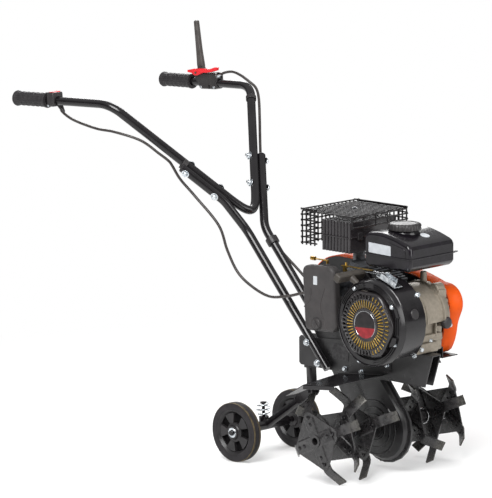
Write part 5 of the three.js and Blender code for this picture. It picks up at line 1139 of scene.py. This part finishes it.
class TILLER_OT_engine_block(bpy.types.Operator):
    """Finishes the crankcase, the finned cylinder, the shroud and their bolts"""

    bl_idname = "tiller.engine_block"
    bl_label = "Engine block"

    def execute(self, context):
        softened("cylinder", darker_aluminium, 0.6)
        softened("cylinder_head", darker_aluminium, 1.6)
        softened("carburettor", darker_aluminium, 1.0)
        softened("choke_lever", brass, 0.6)
        softened("fan_shroud", black_enamel, 3.0, 4)
        softened("flywheel_fan", cast_aluminium, 0.5)
        self.oil_cap()
        self.crankcase()
        self.shroud_bolts()
        self.shroud_details()
        self.bracket()
        self.linkage()
        return {"FINISHED"}

    def crankcase(self):
        """The casting's drum with its joint flange, its stepped foot, its lifting lug and the tank's post."""
        left = [(0, 51), (52, 51), (60, 49.6), (66, 46.5), (74, 43), (77, 38), (77.6, 24), (81, 22.6)]
        middle = [(81, 17.4), (76.6, 16), (76.6, -36), (79, -37), (79, -42), (76.6, -43)]
        drum = built((turned, [*left, *middle, (76.6, -76), (0, -76)], (0, *CRANK), "X", 80))
        made = piece("case_drum", drum, cast_aluminium, "crankcase", angle=30, bevel=1.0, segments=3)
        carved(made, built((cuboid, (-90, -210, 190), (90, -158, 284))))
        foot = built(
            (cuboid, (-77, -193, 214.5), (0, -42, 238.4)),
            (cuboid, (-77, -186, 238.0), (22, -48, 256)),
            (cuboid, (0, -182, 214.5), (24, -52, 240)),
            (cuboid, (-36, -193.4, 284.4), (14, -186, 289.6)),
            (cuboid, (-70, -178, 250), (8, -150, 286)),
            (cuboid, (-60, -188, 250), (-54, -172, 285)),
            (cuboid, (-4, -188, 250), (1, -172, 285)),
            (rod, (28, -150, OIL_CAP_HEIGHT), (28, -187, OIL_CAP_HEIGHT), 11.5, 32, 10.5),
        )
        piece("case_foot", foot, cast_aluminium, bevel=3.0, segments=4)
        lugs = built(
            (cuboid, (18, -178, 334), (46, -140, 357)),
            (rod, (18, -159, 356), (46, -159, 356), 15, 32),
            (rod, (26, -121, 330), (26, -121, 396), 9, 28, 7.6),
            (cuboid, (14, -133, 330), (36, -108, 352)),
        )
        piece("case_lugs", lugs, cast_aluminium, bevel=3.0, segments=4)
        bosses = [on_circle(CRANK, 70, degrees) for degrees in (150, 196, 232, 96)]
        bm = built(*((rod, (30, y, z), (43.6, y, z), 7.4, 22, 6.8) for y, z in bosses))
        piece("case_bosses", bm, cast_aluminium, bevel=0.8)
        bm = built(
            (hex_bolt, (-20, -184, 238.4), (0, 0, 1), 11, 5, 7),
            (hex_bolt, (-62, -193, 226), (0, -1, 0), 10, 4, 6),
        )
        piece("case_bolts", bm, zinc_plate, bevel=0.3)

    def oil_cap(self):
        """The dipstick's cap: a ribbed disc on a short neck in front of the crankcase."""
        centre = (28, -184, OIL_CAP_HEIGHT)
        disc = [(0, 16.4), (9, 16.4), (12.6, 15.4), (14.4, 13), (14.8, 4.5), (13.6, 2.6)]
        neck = [(9, 2.4), (9, -4), (0, -4)]
        bm = built((turned, disc + neck, centre, (0, -1, 0), 72))
        ribbed(bm, centre, (0, 2), 72, 4, 14, 1.1)
        piece("oil_cap_finished", bm, knob_plastic, "oil_cap", "oil_cap", angle=40)

    def shroud_bolts(self):
        """Bolts on the shroud's front and two that stand out from its rim."""
        bm = built((hex_bolt, (SHROUD_FRONT - 11.5, -192, 343), (-1, 0, 0), 10, 4.5, 6.4))
        for degrees in (60, 205):
            hex_bolt(bm, (SHROUD_FRONT - 10.6, *on_circle(CRANK, 92, degrees)), (-1, 0, 0), 9, 4, 5.4)
        for x, y, z in ((-80, -203.7, 367.1), (-80, -182.5, 219.5)):
            out = Vector((0, y - CRANK[0], z - CRANK[1])).normalized()
            hex_bolt(bm, Vector((x, *CRANK)) + out * (SHROUD_RADIUS - 0.4), out, 10, 5, 7)
        piece("shroud_bolts", bm, zinc_plate, bevel=0.3)

    def shroud_details(self):
        """Pressed ribs, the bulge round the recoil cover, a small window and a plug."""
        front = SHROUD_FRONT
        bm = bmesh.new()
        upper, lower = (88, 92.6, 97.2), (90, 95)
        for start, end, radii in ((98, 150, upper), (24, 80, upper), (206, 262, lower)):
            for radius in radii:
                outline = arc(CRANK, radius, start, end, 22) + arc(CRANK, radius - 2.2, end, start, 22)
                plate(bm, outline, "X", front - 14.5, front + 0.5)
        for y in (-205, -210, -215):
            cuboid(bm, (front - 14.5, y - 1.1, 276), (front + 0.5, y + 1.1, 318))
        piece("shroud_louvres", bm, black_enamel, bevel=0.8, segments=3)
        inner = [(80, 0), (80, -10), (84.5, -11), (85.5, -14.6), (86.6, -10.6)]
        outer = [(98, -10.4), (99.4, -12.6), (101.4, -11.4), (104.4, -5), (105.6, 0), (80, 0)]
        bulge = [(radius, front + x) for radius, x in inner + outer]
        piece("shroud_bulge", built((turned, bulge, (0, *CRANK), "X", 96)), black_enamel, angle=30)
        outline = rounded([(-184, 246), (-203, 252), (-209, 270), (-196, 272)], 4, 4)
        window = built((plate, outline, "X", front - 17, front + 0.5))
        piece("shroud_window", window, black_enamel, bevel=1.6, segments=4)
        out = Vector((0, *on_circle((0, 0), 1, 163.5)))
        at = Vector((-112, *CRANK)) + out * (SHROUD_RADIUS - 1)
        piece("shroud_plug", built((rod, at, at + out * 2.6, 13, 36, 11.5)), knob_plastic, bevel=0.6)

    def bracket(self):
        """The slanted throttle bracket between the tank and the shroud."""
        bm = built(
            (cuboid, (-144, -31, -1.2), (-116, 31, 1.2)),
            (cuboid, (-144, -31, 0), (-141.8, 20, 13)),
            (cuboid, (-118, -12, 0), (-116, 24, 10)),
        )
        bm.transform(Matrix.Translation((0, -153, 396)) @ Matrix.Rotation(math.radians(21.5), 4, "X"))
        hex_bolt(bm, (-130, -165, 392.5), (0, -0.37, 0.93), 9, 4, 6)
        rod(bm, (-102, -120, 404), (-102, -120, 410), 7, 20)
        piece("throttle_bracket", bm, zinc_plate, bevel=0.6)

    def linkage(self):
        """Governor arm with its spring, fuel hose and throttle rod."""
        bm = built(
            (cuboid, (-92, -60, 404), (-84, 40, 406)),
            (cuboid, (-88, 30, 390), (-80, 38, 406)),
            (rod, (-80, 34, 380), (-80, 34, 412), 3, 16),
        )
        piece("governor_arm", bm, yellow_zinc, bevel=0.6)
        turns, steps = 14, 12
        coil = []
        for i in range(turns * steps + 1):
            angle = 2 * math.pi * i / steps
            back = -64 - 52 * i / (turns * steps)
            coil.append(Vector((-86 + 3.2 * math.cos(angle), back, 402 + 3.2 * math.sin(angle))))
        tube("governor_spring", coil, 0.6, chrome, sides=2)
        hose = [(-60, -96, 413), (-64, -92, 402), (-74, -40, 396), (-78, 10, 392), (-74, 22, 384)]
        tube("fuel_hose", smooth_path(hose, 8), 4, cable_sheath, sides=4)
        wire = [(-104, -150, 396), (-98, -90, 400), (-92, -20, 399), (-88, 26, 398)]
        tube("throttle_rod", smooth_path(wire, 6), 1.2, zinc_plate)


class TILLER_OT_recoil(bpy.types.Operator):
    """Makes the recoil cover with its vents, screen and badge, and the starter handle"""

    bl_idname = "tiller.recoil"
    bl_label = "Recoil starter"

    def execute(self, context):
        slots = context.scene.tiller_sizes.vent_slots
        self.cover(slots)
        self.screen(slots)
        self.badge()
        self.handle()
        return {"FINISHED"}

    def cover(self, slots):
        """A dished cover with two rings of radial slots and six soft lobes round its rim."""
        steps = slots * 4
        front = COVER_FRONT
        flat = [(37, front)] + [(radius, front) for radius in (*INNER_VENTS, OUTER_VENTS[0])]
        rim = [(OUTER_VENTS[1], front + 1.6), (76, front + 2.6), (78.4, front + 4.4), (80, front + 8)]
        bm = built((turned, [*flat, *rim, (80, SHROUD_FRONT - SEAT)], (0, *CRANK), "X", steps))
        opened = []
        for face in bm.faces:
            middle = face.calc_center_median()
            y, z = middle.y - CRANK[0], middle.z - CRANK[1]
            place = int(round(math.atan2(z, y) / (2 * math.pi) * steps - 0.5)) % 4
            radius = math.hypot(y, z)
            inner = INNER_VENTS[0] < radius < INNER_VENTS[1] and place in (0, 1, 2)
            outer = OUTER_VENTS[0] < radius < OUTER_VENTS[1] and place in (1, 2)
            if inner or outer:
                opened.append(face)
        bmesh.ops.delete(bm, geom=opened, context="FACES")
        for vert in bm.verts:
            y, z = vert.co.y - CRANK[0], vert.co.z - CRANK[1]
            radius = math.hypot(y, z)
            if radius > 75:
                lobe = 1 + 3 * math.cos(6 * math.atan2(z, y)) / radius
                vert.co.y, vert.co.z = CRANK[0] + y * lobe, CRANK[1] + z * lobe
        walled(piece("recoil_cover_finished", bm, cover_enamel, "recoil_cover", angle=40))

    def screen(self, slots):
        """Golden bars behind the slots: a full inner ring, and an outer ring on the front side only."""
        bm = bmesh.new()
        for i in range(slots):
            turn = 2 * math.pi * (i + 0.5) / slots
            self.bar(bm, turn, INNER_VENTS[0] + 0.5, INNER_VENTS[1], 2.5)
            if math.cos(turn - math.pi) > 0.25:
                self.bar(bm, turn, OUTER_VENTS[0] + 0.5, OUTER_VENTS[1] - 0.5, 2.3)
        piece("starter_screen", bm, yellow_zinc, bevel=0.4)
        piece("cover_backing", built((ring, 10, 78, -165, -164, (0, *CRANK), "X", 64)), knob_plastic)

    def bar(self, bm, turn, low, high, width):
        """One radial bar, turned to its place round the crank."""
        made = cuboid(bm, (COVER_FRONT + 0.9, low, -width / 2), (COVER_FRONT + 9, high, width / 2))
        moved(bm, made, Matrix.Translation((0, *CRANK)) @ Matrix.Rotation(turn, 4, "X"))

    def badge(self):
        """A domed disc without lettering, a bright wire round it and its pressed seat."""
        centre = (0, *CRANK)
        front = COVER_FRONT
        dome = [(0, front - 1.4), (20, front - 1.2), (32.5, front - 0.4), (32.5, front + 2), (0, front + 2)]
        piece("badge_disc", built((turned, dome, centre, "X", 56)), badge_enamel)
        wire = [Vector((front - 0.7, y, z)) for y, z in arc(CRANK, 33, -50, 230, 60)]
        tube("badge_ring", wire, 0.6, chrome)
        seat = [(32.4, front - 0.2), (38, front - 0.4), (39, front + 0.4), (39, front + 2), (32.4, front + 2)]
        piece("badge_seat", built((turned, [*seat, seat[0]], centre, "X", 56)), cover_enamel)

    def handle(self):
        """A T-shaped pull: a rounded bar across the top of a tapered stem, over the rope and its outlet."""
        lean = math.radians(30)
        pull = Vector((0, math.cos(lean), math.sin(lean)))
        centre = Vector((-152, -45, 398))
        foot = centre - pull * 34
        bm = built((cuboid, (-47, -9.5, -10.5), (47, 9.5, 10.5)))
        bm.transform(Matrix.Translation(centre) @ Matrix.Rotation(lean, 4, "X"))
        piece("pull_bar", bm, starter_plastic, "starter_handle", "starter", bevel=5.0, segments=5)
        bm = built(
            (rod, foot, centre - pull * 6, 6.4, 28, 9.0),
            (rod, foot - pull * 0.2, foot + pull * 3, 5.2, 28, 6.4),
        )
        piece("pull_stem", bm, starter_plastic, "starter_handle", "starter", bevel=0.8)
        outlet = Vector((-152, -87, 374))
        bm = built((rod, outlet - pull * 22, outlet - pull * 2, 11, 28, 8))
        piece("rope_outlet", bm, starter_plastic, bevel=1.5)
        points = [foot + pull * 2 - pull * (22 * i / 24) for i in range(25)]
        made = tube("pull_rope", points, 2.0, grip_rubber, "starter_rope", "starter")
        made.parent = None
        del made["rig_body"]
        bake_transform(made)


class TILLER_OT_tank(bpy.types.Operator):
    """Makes the fuel tank with its seam, its neck, the ribbed cap and two blank labels"""

    bl_idname = "tiller.tank"
    bl_label = "Fuel tank"

    def execute(self, context):
        self.shell()
        self.seam()
        self.cap()
        self.blank_labels()
        return {"FINISHED"}

    def shell(self):
        """The tank from the side: a crown that slopes to the front, and a flat sole."""
        front, rear = TANK["y"]
        crown = [(rear, 486), (rear - 4, 494), (-56, 499.4), (-76, 500.6), (-94, 500.7), (-108, 499.4)]
        slope = [(-122, 496.9), (-136, 493.9), (-149.5, 490.5), (-168, 484.4), (-180, 480.2), (-186.5, 476)]
        sole = [(front, 468), (front, 428), (front + 4, 419.5), (front + 13, 414.7), (rear - 12, 414.7)]
        side = [*crown, *slope, *sole, (rear - 4, 419), (rear, 427)]
        bm = built((plate, side, "X", *TANK["x"]))
        piece("tank_shell", bm, tank_plastic, "fuel_tank", angle=24, bevel=8.5, segments=6)

    def seam(self):
        """The welded rim with a lug at the front, a fold in the right face, and the filler's neck."""
        (x0, x1), (front, rear), seam = TANK["x"], TANK["y"], TANK["seam"]
        rim = rounded(square(x0 - 3, front - 3, x1 + 3, rear + 3), 12, 5)
        lug = [(x1 - 4, front - 3), (x1 + 14, front + 1), (x1 + 14, front + 9), (x1 - 4, front + 12)]
        bm = built(
            (plate, rim, "Z", seam - 1.6, seam + 1.6),
            (plate, rounded(lug, 3, 3), "Z", seam - 1, seam + 1),
        )
        piece("tank_seam", bm, tank_plastic, "fuel_tank", bevel=1.0, segments=3)
        fold = [(-122, 480.4), (-150, 474.6), (-166, 470.6), (-172, 467), (-174.6, 460), (-175.6, seam + 2)]
        tube("tank_fold", smooth_path([(x0 - 0.1, y, z) for y, z in fold], 6), 0.9, tank_plastic)
        collar = [(0, 490), (36, 490), (35, 496), (33, 498.5), (32.6, 500.2), (0, 500.2)]
        piece("filler_neck", built((turned, collar, (*CAP_AT, 0), "Z", 48)), tank_plastic, "fuel_tank")

    def cap(self):
        """A shallow cap with twenty-four ribs round its skirt."""
        low = 501.0
        skirt = [(38.1, 0), (39.6, 1.2), (39.6, 12)]
        crown = [(38, 14.4), (34.6, 16.2), (27.6, 17), (27, 15.8), (0, 15.8)]
        profile = [(0, low)] + [(radius, low + z) for radius, z in skirt + crown]
        bm = built((turned, profile, (*CAP_AT, 0), "Z", 120))
        ribbed(bm, CAP_AT, (0, 1), 120, 5, 36, 1.6)
        piece("fuel_cap_finished", bm, knob_plastic, "fuel_cap", "fuel_cap", angle=40)

    def blank_labels(self):
        """A blank plate on the right face and a blank disc on the crown."""
        face = TANK["x"][0]
        outline = rounded([(-57, 450.5), (-128, 448.5), (-128, 472), (-57, 474.5)], 1.5, 2)
        piece("blank_side_label", built((plate, outline, "X", face - 0.5, face + 0.2)), paper_label)
        disc = [(0, 0.5), (11.4, 0.5), (11.7, 0.1), (11.7, -1), (0, -1)]
        bm = built((turned, disc, (-4, -152.5, 490.1), (0, -0.27, 1), 36))
        piece("blank_round_label", bm, paper_label)


class TILLER_OT_exhaust(bpy.types.Operator):
    """Makes the fluted silencer and the wire net over it"""

    bl_idname = "tiller.exhaust"
    bl_label = "Silencer and net"

    def execute(self, context):
        self.silencer()
        self.net(context.scene.tiller_sizes)
        return {"FINISHED"}

    def silencer(self):
        """A box with nine round flutes on its right face, a stepped lid, a seam and three tabs."""
        flutes, steps = 9, 10
        outline = [(92, 27), (92, 122)]
        for i in range(flutes * steps + 1):
            share = i / (flutes * steps)
            wave = 5.2 * (1 - abs(math.sin(math.pi * flutes * share)) ** 0.7)
            outline.append((-74 + wave, 122 - 95 * share))
        shell = built((plate, outline, "Z", 432, 507))
        piece("silencer_shell", shell, muffler_enamel, "muffler", angle=40, bevel=5.0, segments=4)
        bm = built(
            (plate, rounded(square(-66, 30, 89, 119), 10, 4), "Z", 490, 508),
            (plate, rounded(square(-77, 24.6, 94, 124), 9, 4), "Z", 468.4, 471),
        )
        piece("silencer_seam", bm, muffler_enamel, "muffler", bevel=1.2, segments=3)
        bm = built(*((cuboid, (x - 7, 22.4, 462), (x + 7, 27.4, 480)) for x in (-40, 20, 70)))
        piece("silencer_tabs", bm, muffler_enamel, "muffler", bevel=1.0)

    def net(self, sizes):
        """Wires over the silencer: top, rear, left side, the right side's rear part and a short front."""
        wire = sizes.net_wire / MM
        (x0, x1), (y0, y1) = NET["x"], NET["y"]
        top = NET["top"] - wire
        low = NET["top"] - NET["drop"]
        across, along = sizes.net_across, sizes.net_along
        step_x, step_y = (x1 - x0 - 2 * wire) / across, (y1 - y0 - 2 * wire) / along
        near = int(NET["near_run"] / step_y)
        right, left, front, rear = x0 + wire, x1 - wire, y0 + wire, y1 - wire
        wires = []
        for i in range(across + 1):
            x = right + i * step_x
            wires += [((x, y0, top), (x, y1 - 4, top)), ((x, rear, low), (x, rear, top - 3))]
            wires += [((x, y1 - 4.6, top), (x, rear, top - 3.6))]
        for j in range(along + 1):
            y = front + j * step_y
            under = top - wire
            wires += [((x0 + 4, y, under), (x1 - 4, y, under)), ((left, y, low), (left, y, top - 4))]
            wires += [((x1 - 4.6, y, under), (left, y, top - 4.6))]
            if along - j <= near:
                wires += [((right, y, low), (right, y, top - 4))]
                wires += [((x0 + 4.6, y, under), (right, y, top - 4.6))]
        for k in range(int((top - low) / step_x) + 1):
            z = low + 5 + k * step_x
            wires += [((x0 - 4, rear - wire, z), (x1 + 4, rear - wire, z))]
            wires += [((left - wire, y0 - 2, z), (left - wire, y1 + 4, z))]
            wires += [((right + wire, y1 - near * step_y - 7, z), (right + wire, y1 + 4, z))]
        for z in (top - step_x, top - 2 * step_x):
            wires += [((x0 + 4, front, z), (x1 + 2, front, z))]
        for i in range(0, across + 1, 3):
            x = right + i * step_x
            wires += [((x, front, top - 2 * step_x - 3), (x, front, top))]
        bm = built(*((rod, start, end, wire, 8) for start, end in wires))
        piece("guard_net_wires", bm, wire_dip, "muffler_guard", angle=50)
        self.net_post((x0 + x1) / 2, (y0 + y1) / 2, top, wire)

    def net_post(self, x, y, top, wire):
        """The post under the net's middle, with a bolt on the net."""
        post = built((rod, (x, y, 508.4), (x, y, top), 6, 24))
        piece("net_post", post, muffler_enamel, "muffler_guard", bevel=0.5)
        face = top + wire
        bolt = built(
            (rod, (x, y, face), (x, y, face + 0.8), 6.4, 28),
            (rod, (x, y, face + 0.4), (x, y, face + 3), 4.2, 6),
        )
        piece("net_bolt", bolt, bare_steel, "muffler_guard", bevel=0.4)


class TILLER_OT_air_cleaner(bpy.types.Operator):
    """Makes the air cleaner's rounded cover with its swept face, its base and its knob"""

    bl_idname = "tiller.air_cleaner"
    bl_label = "Air cleaner"

    def execute(self, context):
        self.cover()
        softened("cleaner_base", knob_plastic, 1.2)
        self.knob()
        face = CLEANER["x"][0]
        label = rounded(square(63.6, 362, 76.4, 383), 1.2, 2)
        piece("blank_cleaner_label", built((plate, label, "X", face - 0.4, face - 0.05)), paper_label)
        return {"FINISHED"}

    def cover(self):
        """A rounded box with a lug on top and two shallow creases that sweep down its face."""
        (y0, y1), (z0, z1) = CLEANER["y"], CLEANER["z"]
        shell = built((plate, rounded(square(y0, z0, y1, z1), 20, 8), "X", *CLEANER["x"]))
        piece("cleaner_shell", shell, cover_plastic, "cleaner_cover", matrix=LEANING, bevel=9.5, segments=7)
        y, z = 40, z1 - 3
        outline = rounded([(y - 9, z), (y + 9, z), (y + 5, z + 6), (y - 5, z + 6)], 3, 3)
        lug = built((plate, outline, "X", -138, -126))
        piece("cleaner_lug", lug, cover_plastic, "cleaner_cover", matrix=LEANING, bevel=1.6, segments=3)
        left = [(86, 352), (85.5, 335), (92, 318), (107, 304)]
        right = [(40, 356), (44.5, 343), (53, 318), (51.4, 297), (43, 277), (33.5, 258.5)]
        for index, line in enumerate((left, right)):
            path = smooth_path([(CLEANER["x"][0] + 0.4, y, z) for y, z in line], 8)
            tube(f"cleaner_sweep_{index}", path, 1.6, cover_plastic)

    def knob(self):
        """A round knob with a near-black ring of painted shade round it for its recess, and a raised bar
        across it.
        """
        y, z = CLEANER["knob"]
        centre, out = (CLEANER["x"][0], y, z), (-1, 0, 0)
        # Painted shade: a near-black ring round the knob stands for the recess's shadow
        recess = [(14.2, -0.6), (16.4, -0.6), (16.9, 0.4), (16.4, 1.2), (14.2, 1.2), (14.2, -0.6)]
        piece("knob_recess_painted_shade", built((turned, recess, centre, out, 44)), knob_plastic)
        profile = [(0, 4.2), (9, 4.2), (12.4, 3.6), (13.6, 2.4), (13.8, 0.5), (0, 0.5)]
        disc = built((turned, profile, centre, out, 40))
        piece("cleaner_knob_disc", disc, cover_plastic, "cleaner_knob", "cleaner_knob", angle=40)
        bm = built((cuboid, (-1.6, -12.2, -3.0), (1.6, 12.2, 3.0)))
        bm.transform(Matrix.Translation((-155.2, y, z)) @ Matrix.Rotation(math.radians(52), 4, "X"))
        piece("cleaner_knob_bar", bm, cover_plastic, "cleaner_knob", "cleaner_knob", bevel=1.2, segments=3)


class TILLER_OT_belt_drive(bpy.types.Operator):
    """Finishes the belt guard, its back plate, the belt and the idler"""

    bl_idname = "tiller.belt_drive"
    bl_label = "Belt drive"

    def execute(self, context):
        self.guard()
        self.back_plate()
        softened("drive_belt", grip_rubber, 0.6)
        softened("idler_arm", zinc_plate, 0.6)
        bm = built(
            (hex_bolt, (76, -160.5, 262), (0, -1, 0.1), 10, 4.5, 6),
            (hex_bolt, (112.2, 10, 330), (1, 0, 0), 11, 5, 8),
            (hex_bolt, (112.2, -60, 230), (1, 0, 0), 11, 5, 8),
        )
        piece("guard_bolts", bm, zinc_plate, bevel=0.3)
        return {"FINISHED"}

    def outline(self):
        """The guard from the side: a large rear lobe, a sloping top and a small nose on a straight foot."""
        rear = arc(INPUT, 115, -94, 96, 36)
        top = [(100, 391.4), (40, 388), (-20, 381.6), (-61.7, 375.5), (-100, 364.8), (-118, 358.6)]
        nose = arc((-127.5, 310), 47.6, 98, 206, 20)
        front = [(-163, 272), (-158.6, 258.5), (-155.4, 238.5), (-150.5, 220), (-145, 207), (-139, 196)]
        foot = [(-130, 189), (-118, 186.6), (-54, 185)]
        return [*rear, *top, *nose, *front, *foot]

    def at_low_side(self, bm, low):
        """The faces of the pushed-out outline that lie on its low side."""
        return [face for face in bm.faces if all(abs(vert.co.x - low) < 0.01 for vert in face.verts)]

    def guard(self):
        """An orange shell, open towards the engine."""
        bm = built((plate, self.outline(), "X", GUARD_SHEET, 112))
        bmesh.ops.delete(bm, geom=self.at_low_side(bm, GUARD_SHEET), context="FACES_ONLY")
        bmesh.ops.recalc_face_normals(bm, faces=bm.faces)
        if sum(face.normal.x for face in bm.faces) < 0:
            bmesh.ops.reverse_faces(bm, faces=bm.faces)
        edge = {"angle": 30, "bevel": 6.0, "segments": 5, "outward": False}
        walled(piece("belt_guard_shell", bm, orange_enamel, "belt_guard", **edge))

    def back_plate(self):
        """A sheet inside the guard's edge, with holes for the two shafts, and a hem at its front corner."""
        bm = built((plate, self.outline(), "X", BACK_SHEET, 60.0))
        base = self.at_low_side(bm, BACK_SHEET)
        bmesh.ops.delete(bm, geom=[face for face in bm.faces if face not in base], context="FACES")
        rim = bmesh.ops.inset_region(bm, faces=base, thickness=3.2, use_even_offset=True)
        bmesh.ops.delete(bm, geom=rim["faces"], context="FACES")
        grown = bmesh.ops.extrude_face_region(bm, geom=list(bm.faces))
        bmesh.ops.translate(bm, verts=corners_in(grown), vec=(2.3, 0, 0))
        made = piece("back_plate_sheet", bm, chassis_enamel, "guard_back_plate")
        holes = built(
            (rod, (50, *CRANK), (70, *CRANK), 30, 40),
            (rod, (50, *INPUT), (70, *INPUT), 10.5, 32),
            (rod, (50, 60, 190), (70, 60, 190), 4.4, 20),
        )
        carved(made, holes)
        hem = built(
            (cuboid, (54.5, -157, 182.2), (57, -103, 210.7)),
            (cuboid, (54.5, -157, 182.2), (110.1, -103, 184.7)),
        )
        piece("back_plate_hem", hem, chassis_enamel, "guard_back_plate", bevel=0.6)


# Floor, light and camera


class TILLER_OT_stage(bpy.types.Operator):
    """Makes the pale floor, the soft lights and the camera of the photograph"""

    bl_idname = "tiller.stage"
    bl_label = "Stage"

    def execute(self, context):
        self.floor(context)
        self.lights(context)
        self.world(context)
        self.camera(context)
        context.scene.view_settings.view_transform = "Standard"
        return {"FINISHED"}

    def floor(self, context):
        bm = bmesh.new()
        bmesh.ops.create_circle(bm, cap_ends=True, segments=96, radius=14)
        made = linked("floor", mesh_of("floor", bm))
        made.data.materials.append(self.floor_paint(context))

    def floor_paint(self, context):
        """Pale matt paint that fades to plain white away from the object."""
        material, tree, shader, place = new_material("matt_floor_paint")
        colour = tuple(context.scene.tiller_colours.floor)
        dark = tuple(c * 0.985 for c in colour)
        tree.links.new(mottled(tree, place, dark, colour, 400), shader.inputs["Base Color"])
        shader.inputs["Roughness"].default_value = 0.9
        shader.inputs["Specular IOR Level"].default_value = 0.1
        reach = add_node(tree, "ShaderNodeVectorMath", {"operation": "LENGTH"}, {0: place}).outputs["Value"]
        fade = ranged(tree, reach, 0.7, 2.2, 0.25, 1.0, "SMOOTHSTEP")
        white = add_node(tree, "ShaderNodeEmission", links={"Color": (1, 1, 1, 1), "Strength": 1.0})
        mixed = mixed_shader(tree, fade, shader.outputs["BSDF"], white.outputs["Emission"])
        tree.links.new(mixed, tree.nodes["Material Output"].inputs["Surface"])
        return material

    def lights(self, context):
        """A key light above the camera, a fill from the photo's right and a rim light from behind."""
        power = context.scene.tiller_sizes.key_light
        aim = Vector((0, -0.1, 0.5))
        lamps = {
            "key_light": ((-3.0, -1.6, 3.4), 2.4, power),
            "fill_light": ((1.0, -4.2, 1.6), 2.6, power * 0.35),
            "rim_light": ((2.6, 2.6, 2.8), 2.0, power * 0.34),
        }
        for name, (place, size, watts) in lamps.items():
            lamp = bpy.data.lights.new(name, "AREA")
            lamp.shape = "SQUARE"
            lamp.size = size
            lamp.energy = watts
            made = linked(name, lamp)
            made.location = place
            made.rotation_mode = "QUATERNION"
            made.rotation_quaternion = (aim - made.location).to_track_quat("-Z", "Y")

    def world(self, context):
        """A room that is plain white to the camera, soft as a light and darker low down in reflections."""
        world = bpy.data.worlds.new("pale_room")
        world.use_nodes = True
        context.scene.world = world
        tree = world.node_tree
        soft = tree.nodes["Background"]
        soft.inputs["Color"].default_value = (0.97, 0.98, 1.0, 1)
        soft.inputs["Strength"].default_value = 0.62
        facing = add_node(tree, "ShaderNodeTexCoord").outputs["Generated"]
        height = add_node(tree, "ShaderNodeSeparateXYZ", links={"Vector": facing}).outputs["Z"]
        room = ranged(tree, height, 0.0, 0.8, 0.05, 0.62, "SMOOTHSTEP")
        white = (1, 1, 1, 1)
        seen = add_node(tree, "ShaderNodeBackground", links={"Color": white, "Strength": 1.0})
        sheen = add_node(tree, "ShaderNodeBackground", links={"Color": white, "Strength": room})
        rays = add_node(tree, "ShaderNodeLightPath").outputs
        direct = {0: rays["Is Camera Ray"], 1: rays["Is Transmission Ray"]}
        either = add_node(tree, "ShaderNodeMath", {"operation": "MAXIMUM"}, direct).outputs[0]
        plain = mixed_shader(tree, either, soft.outputs["Background"], seen.outputs["Background"])
        whole = mixed_shader(tree, rays["Is Glossy Ray"], plain, sheen.outputs["Background"])
        tree.links.new(whole, tree.nodes["World Output"].inputs["Surface"])

    def camera(self, context):
        """The photograph's camera: placed by azimuth and elevation, then rolled."""
        a, e, r = CAMERA_AZIMUTH, CAMERA_ELEVATION, CAMERA_ROLL
        back = Vector((math.sin(a) * math.cos(e), -math.cos(a) * math.cos(e), math.sin(e)))
        right = Vector((0, 0, 1)).cross(back).normalized()
        up = back.cross(right)
        leaned = right * math.cos(r) + up * math.sin(r)
        raised = up * math.cos(r) - right * math.sin(r)
        lens = bpy.data.cameras.new("photo_camera")
        lens.lens = CAMERA_LENS
        lens.sensor_width = 36
        lens.clip_start = 0.5
        lens.clip_end = 60
        made = linked("photo_camera", lens)
        facing = Matrix((leaned, raised, back)).transposed().to_4x4()
        made.matrix_world = Matrix.Translation(CAMERA_TARGET + back * CAMERA_DISTANCE) @ facing
        context.scene.camera = made


class TILLER_PT_panel(bpy.types.Panel):
    """Lists the steps that make the tiller"""

    bl_idname = "TILLER_PT_panel"
    bl_label = "Garden tiller"
    bl_space_type = "VIEW_3D"
    bl_region_type = "UI"
    bl_category = "Tiller"

    def draw(self, context):
        for group in (context.scene.tiller_colours, context.scene.tiller_sizes):
            for name in group.__annotations__:
                self.layout.prop(group, name)
        for operator in OPERATORS:
            self.layout.operator(operator.bl_idname)


OPERATORS = (
    TILLER_OT_stage,
    TILLER_OT_handlebar,
    TILLER_OT_grips,
    TILLER_OT_controls,
    TILLER_OT_wheels,
    TILLER_OT_chassis,
    TILLER_OT_tines,
    TILLER_OT_engine_block,
    TILLER_OT_recoil,
    TILLER_OT_tank,
    TILLER_OT_exhaust,
    TILLER_OT_air_cleaner,
    TILLER_OT_belt_drive,
)
CLASSES = (TillerColours, TillerSizes, *OPERATORS, TILLER_PT_panel)


def register():
    for item in CLASSES:
        bpy.utils.register_class(item)
    bpy.types.Scene.tiller_colours = PointerProperty(type=TillerColours)
    bpy.types.Scene.tiller_sizes = PointerProperty(type=TillerSizes)


def unregister():
    del bpy.types.Scene.tiller_sizes
    del bpy.types.Scene.tiller_colours
    for item in reversed(CLASSES):
        bpy.utils.unregister_class(item)


def main():
    register()
    for operator in OPERATORS:
        group, name = operator.bl_idname.split(".")
        getattr(getattr(bpy.ops, group), name)()


if __name__ == "__main__":
    main()
